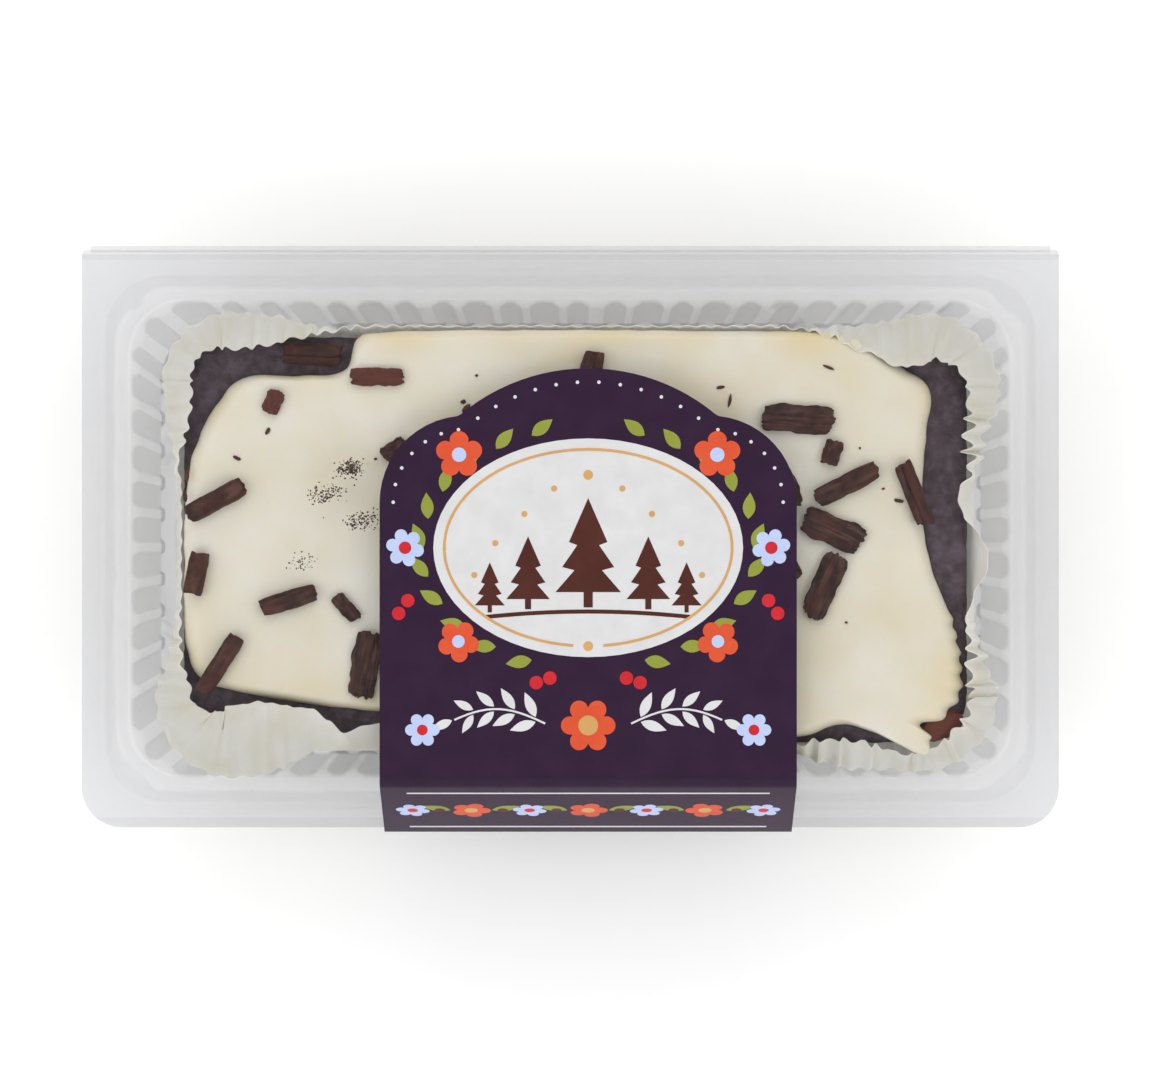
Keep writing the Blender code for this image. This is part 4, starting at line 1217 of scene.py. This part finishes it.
def sprig(reach, rise, pairs, leaf_length):
    """A bent stem along +X with leaves in pairs and one at its end, as separate outlines."""
    def on_stem(t):
        return Vector((reach * t, rise * math.sin(math.pi * t * 0.9)))
    outlines = []
    for i in range(pairs):
        t = (i + 0.6) / (pairs + 0.6)
        p, slope = on_stem(t), math.degrees(math.atan2(*(on_stem(t + 0.02) - on_stem(t)).yx))
        for side in (1, -1):
            outlines.append(turned(leaf(leaf_length * (1 - 0.3 * t), leaf_length * 0.38 * (1 - 0.3 * t)),
                                   p.x + 0.2, p.y + side * 0.55, slope + side * 42))
    tip, slope = on_stem(1.0), math.degrees(math.atan2(*(on_stem(1.0) - on_stem(0.95)).yx))
    outlines.append(turned(leaf(leaf_length * 0.8, leaf_length * 0.32), tip.x + 0.3, tip.y, slope))
    outlines.append(strip([on_stem(0.04 + 0.95 * i / 14) for i in range(15)], 0.42))
    return outlines


def both_sides(outlines):
    return outlines + [[Vector((-p.x, p.y)) for p in reversed(points)] for points in outlines]


# %% Lay an ink
INK_THICKNESS = 0.012 * MM
INK_STEP = 0.016 * MM
TOP_PANEL = Matrix.Translation((CARD_CENTRE_X, 0, CARD_TOP))
# Each fold has five points, so the front panel's straight stretch runs from point 4 to point 5.
slope_from, slope_to = folded[4], folded[5]
slope_down = Vector((0, slope_to.x - slope_from.x, slope_to.y - slope_from.y)).normalized()
slope_out = Vector((-1, 0, 0)).cross(slope_down)
FRONT_PANEL = Matrix((
    (1, 0, 0, CARD_CENTRE_X),
    (0, -slope_down.y, slope_out.y, slope_from.x + slope_out.y * CARD),
    (0, -slope_down.z, slope_out.z, slope_from.y + slope_out.z * CARD),
    (0, 0, 0, 1),
))
print("the front panel faces", [round(v, 2) for v in slope_out])


def lay_ink(name, seen, level, panels):
    """One ink: panels is a list of (matrix, outlines in mm). Outlines of one ink don't overlap."""
    parts = []
    for matrix, outlines in panels:
        data = bpy.data.curves.new(name, "CURVE")
        data.dimensions = "2D"
        data.fill_mode = "BOTH"
        data.extrude = INK_THICKNESS / 2
        for points in outlines:
            spline = data.splines.new("POLY")
            spline.points.add(len(points) - 1)
            for target, p in zip(spline.points, points):
                target.co = (p.x * MM, p.y * MM, 0, 1)
            spline.use_cyclic_u = True
        flat = bpy.data.objects.new(name, data)
        bpy.context.scene.collection.objects.link(flat)
        bpy.ops.object.select_all(action="DESELECT")
        flat.select_set(True)
        bpy.context.view_layer.objects.active = flat
        bpy.ops.object.convert(target="MESH")
        flat = bpy.context.active_object
        flat.data.transform(matrix @ Matrix.Translation((0, 0, level * INK_STEP + INK_THICKNESS / 2)))
        parts.append(flat)
    ink = join(parts, name)
    edit(ink)
    bpy.ops.mesh.select_all(action="SELECT")
    bpy.ops.mesh.remove_doubles(threshold=0.000002)
    bpy.ops.mesh.normals_make_consistent(inside=False)
    close_edit()
    pale = tuple(min(255, v + 7) for v in seen)
    finish = mottled(f"{name}_print", (seen, pale), 5, 0.45, 0.6, 0.01, Specular_IOR_Level=0.15)
    hand_over(ink, "printed_card", [], finish)


# %% Places of the print's shapes in mm
MEDALLION_Y = -2.0
MEDALLION_HALF = (34.0, 24.0)
BORDER = 3.0
GARLAND_Y = -41.0
HILL_Y, HILL_HALF, HILL_DROP = -16.0, 26.0, 1.6
HILL_END = 22.4
# Each tree's distance from the middle and its height.
TREES = ((0.0, 24.0), (13.2, 16.0), (21.6, 11.0))
RING_INSET = 2.4
WREATH_OUT = 2.2
FRONT_LENGTH = (slope_to - slope_from).length / MM
FRONT_Y = -0.5 * FRONT_LENGTH


def hill_height(x):
    return HILL_Y - HILL_DROP * (x / HILL_HALF) ** 2


def on_oval(degrees, out=0.0):
    """A point of the medallion's edge, or outside it by out."""
    a = math.radians(degrees)
    return Vector(((MEDALLION_HALF[0] + out) * math.cos(a), MEDALLION_Y + (MEDALLION_HALF[1] + out) * math.sin(a)))


# %% White ink: the oval medallion, a dotted border along the arched end, and sprigs
oval = [on_oval(6 * i) for i in range(60)]
border_dots = [turned(dot(0.4, 8), p.x / MM, p.y / MM) for p in arched_end(BORDER * MM)[::2]]
sprigs = both_sides([turned(points, 8.6, GARLAND_Y) for points in sprig(21.0, 3.6, 4, 6.2)])
front_lines = [strip([(-40.0, y), (40.0, y)], 0.8) for y in (-3.0, -FRONT_LENGTH + 3.0)]
lay_ink("white_ink", (203, 203, 204), 0,
        [(TOP_PANEL, [oval, *border_dots, *sprigs]), (FRONT_PANEL, front_lines)])

# %% Green ink: a wreath of leaves round the medallion, and leaves along the front
wreath = []
for degrees in range(-70, 71, 14):
    root = on_oval(degrees, WREATH_OUT)
    ahead = on_oval(degrees + 1, WREATH_OUT) - root
    slope = math.degrees(math.atan2(ahead.y, ahead.x))
    wreath.append(turned(leaf(5.8, 2.8), root.x, root.y, slope - 24))
front_leaves = [turned(leaf(7.0, 3.2), x + side * 4.6, FRONT_Y, 90 - side * 90 + side * 22)
                for x, side in ((0, 1), (26, 1), (26, -1))]
lay_ink("green_ink", (134, 142, 56), 1, [(TOP_PANEL, both_sides(wreath)), (FRONT_PANEL, both_sides(front_leaves))])

# %% Brown ink: fir trees on a hill, inside the medallion
trees = []
for x, height in TREES:
    for side in ((1,) if x == 0 else (1, -1)):
        trees.append(turned(fir(height, 0.6 * height), side * x, hill_height(x) + 0.9))
hill = [(x, hill_height(x)) for x in (HILL_END * (i / 10 - 1) for i in range(21))]
front_brown = both_sides([turned(dot(1.2, 12), x, FRONT_Y) for x in (7.0, 19.0, 33.0)])
lay_ink("brown_ink", (72, 34, 28), 2, [(TOP_PANEL, [*trees, strip(hill, 0.9)]), (FRONT_PANEL, front_brown)])

# %% Orange, blue, red and gold inks: blossoms, berries, dots and the ring
high_blossom, low_blossom, side_blossom = on_oval(44, 5.4), on_oval(-44, 5.6), on_oval(0, 6.2)
end_blossom = Vector((36.4, GARLAND_Y - 1.0))
orange = both_sides([turned(blossom(5.2), *high_blossom, 18), turned(blossom(4.6), *low_blossom, 50)])
orange.append(turned(blossom(6.0, 6), 0, GARLAND_Y))
front_orange = [turned(blossom(4.4), 0, FRONT_Y), *both_sides([turned(blossom(4.4), 26, FRONT_Y, 40)])]
lay_ink("orange_ink", (204, 78, 46), 2, [(TOP_PANEL, orange), (FRONT_PANEL, front_orange)])
blue = both_sides([turned(blossom(4.2, 6), *side_blossom, 12), turned(blossom(3.8, 6), *end_blossom)])
blue += both_sides([turned(dot(1.6), *high_blossom), turned(dot(1.4), *low_blossom)])
front_blue = both_sides([turned(blossom(3.8, 6), x, FRONT_Y, 12) for x in (13.0, 39.0)])
lay_ink("blue_ink", (176, 190, 224), 3, [(TOP_PANEL, blue), (FRONT_PANEL, front_blue)])
berries = ((39.6, -13.6), (41.6, -16.4), (8.4, -30.6), (11.4, -31.6))
red = both_sides([turned(dot(1.5), *berry) for berry in berries])
red += both_sides([turned(dot(1.4), *side_blossom), turned(dot(1.2), *end_blossom)])
front_red = both_sides([turned(dot(1.2), x, FRONT_Y) for x in (13.0, 39.0)])
lay_ink("red_ink", (190, 36, 44), 4, [(TOP_PANEL, red), (FRONT_PANEL, front_red)])
gold_ring = [on_oval(-84 + 348 * i / 72, -RING_INSET) for i in range(73)]
stars = both_sides([turned(dot(0.7, 8), x, y) for x, y in ((7.5, 11.0), (14.0, 5.4), (20.4, -1.0), (25.0, -8.0))])
gold = [strip(gold_ring, 0.6), *stars, turned(dot(1.1, 10), 0, 14.0), turned(dot(2.2, 20), 0, GARLAND_Y)]
gold.append(turned(dot(1.1, 10), *on_oval(-90, -RING_INSET)))
front_gold = [turned(dot(1.5, 16), 0, FRONT_Y), *both_sides([turned(dot(1.5, 16), 26, FRONT_Y)])]
lay_ink("gold_ink", (196, 150, 92), 3, [(TOP_PANEL, gold), (FRONT_PANEL, front_gold)])
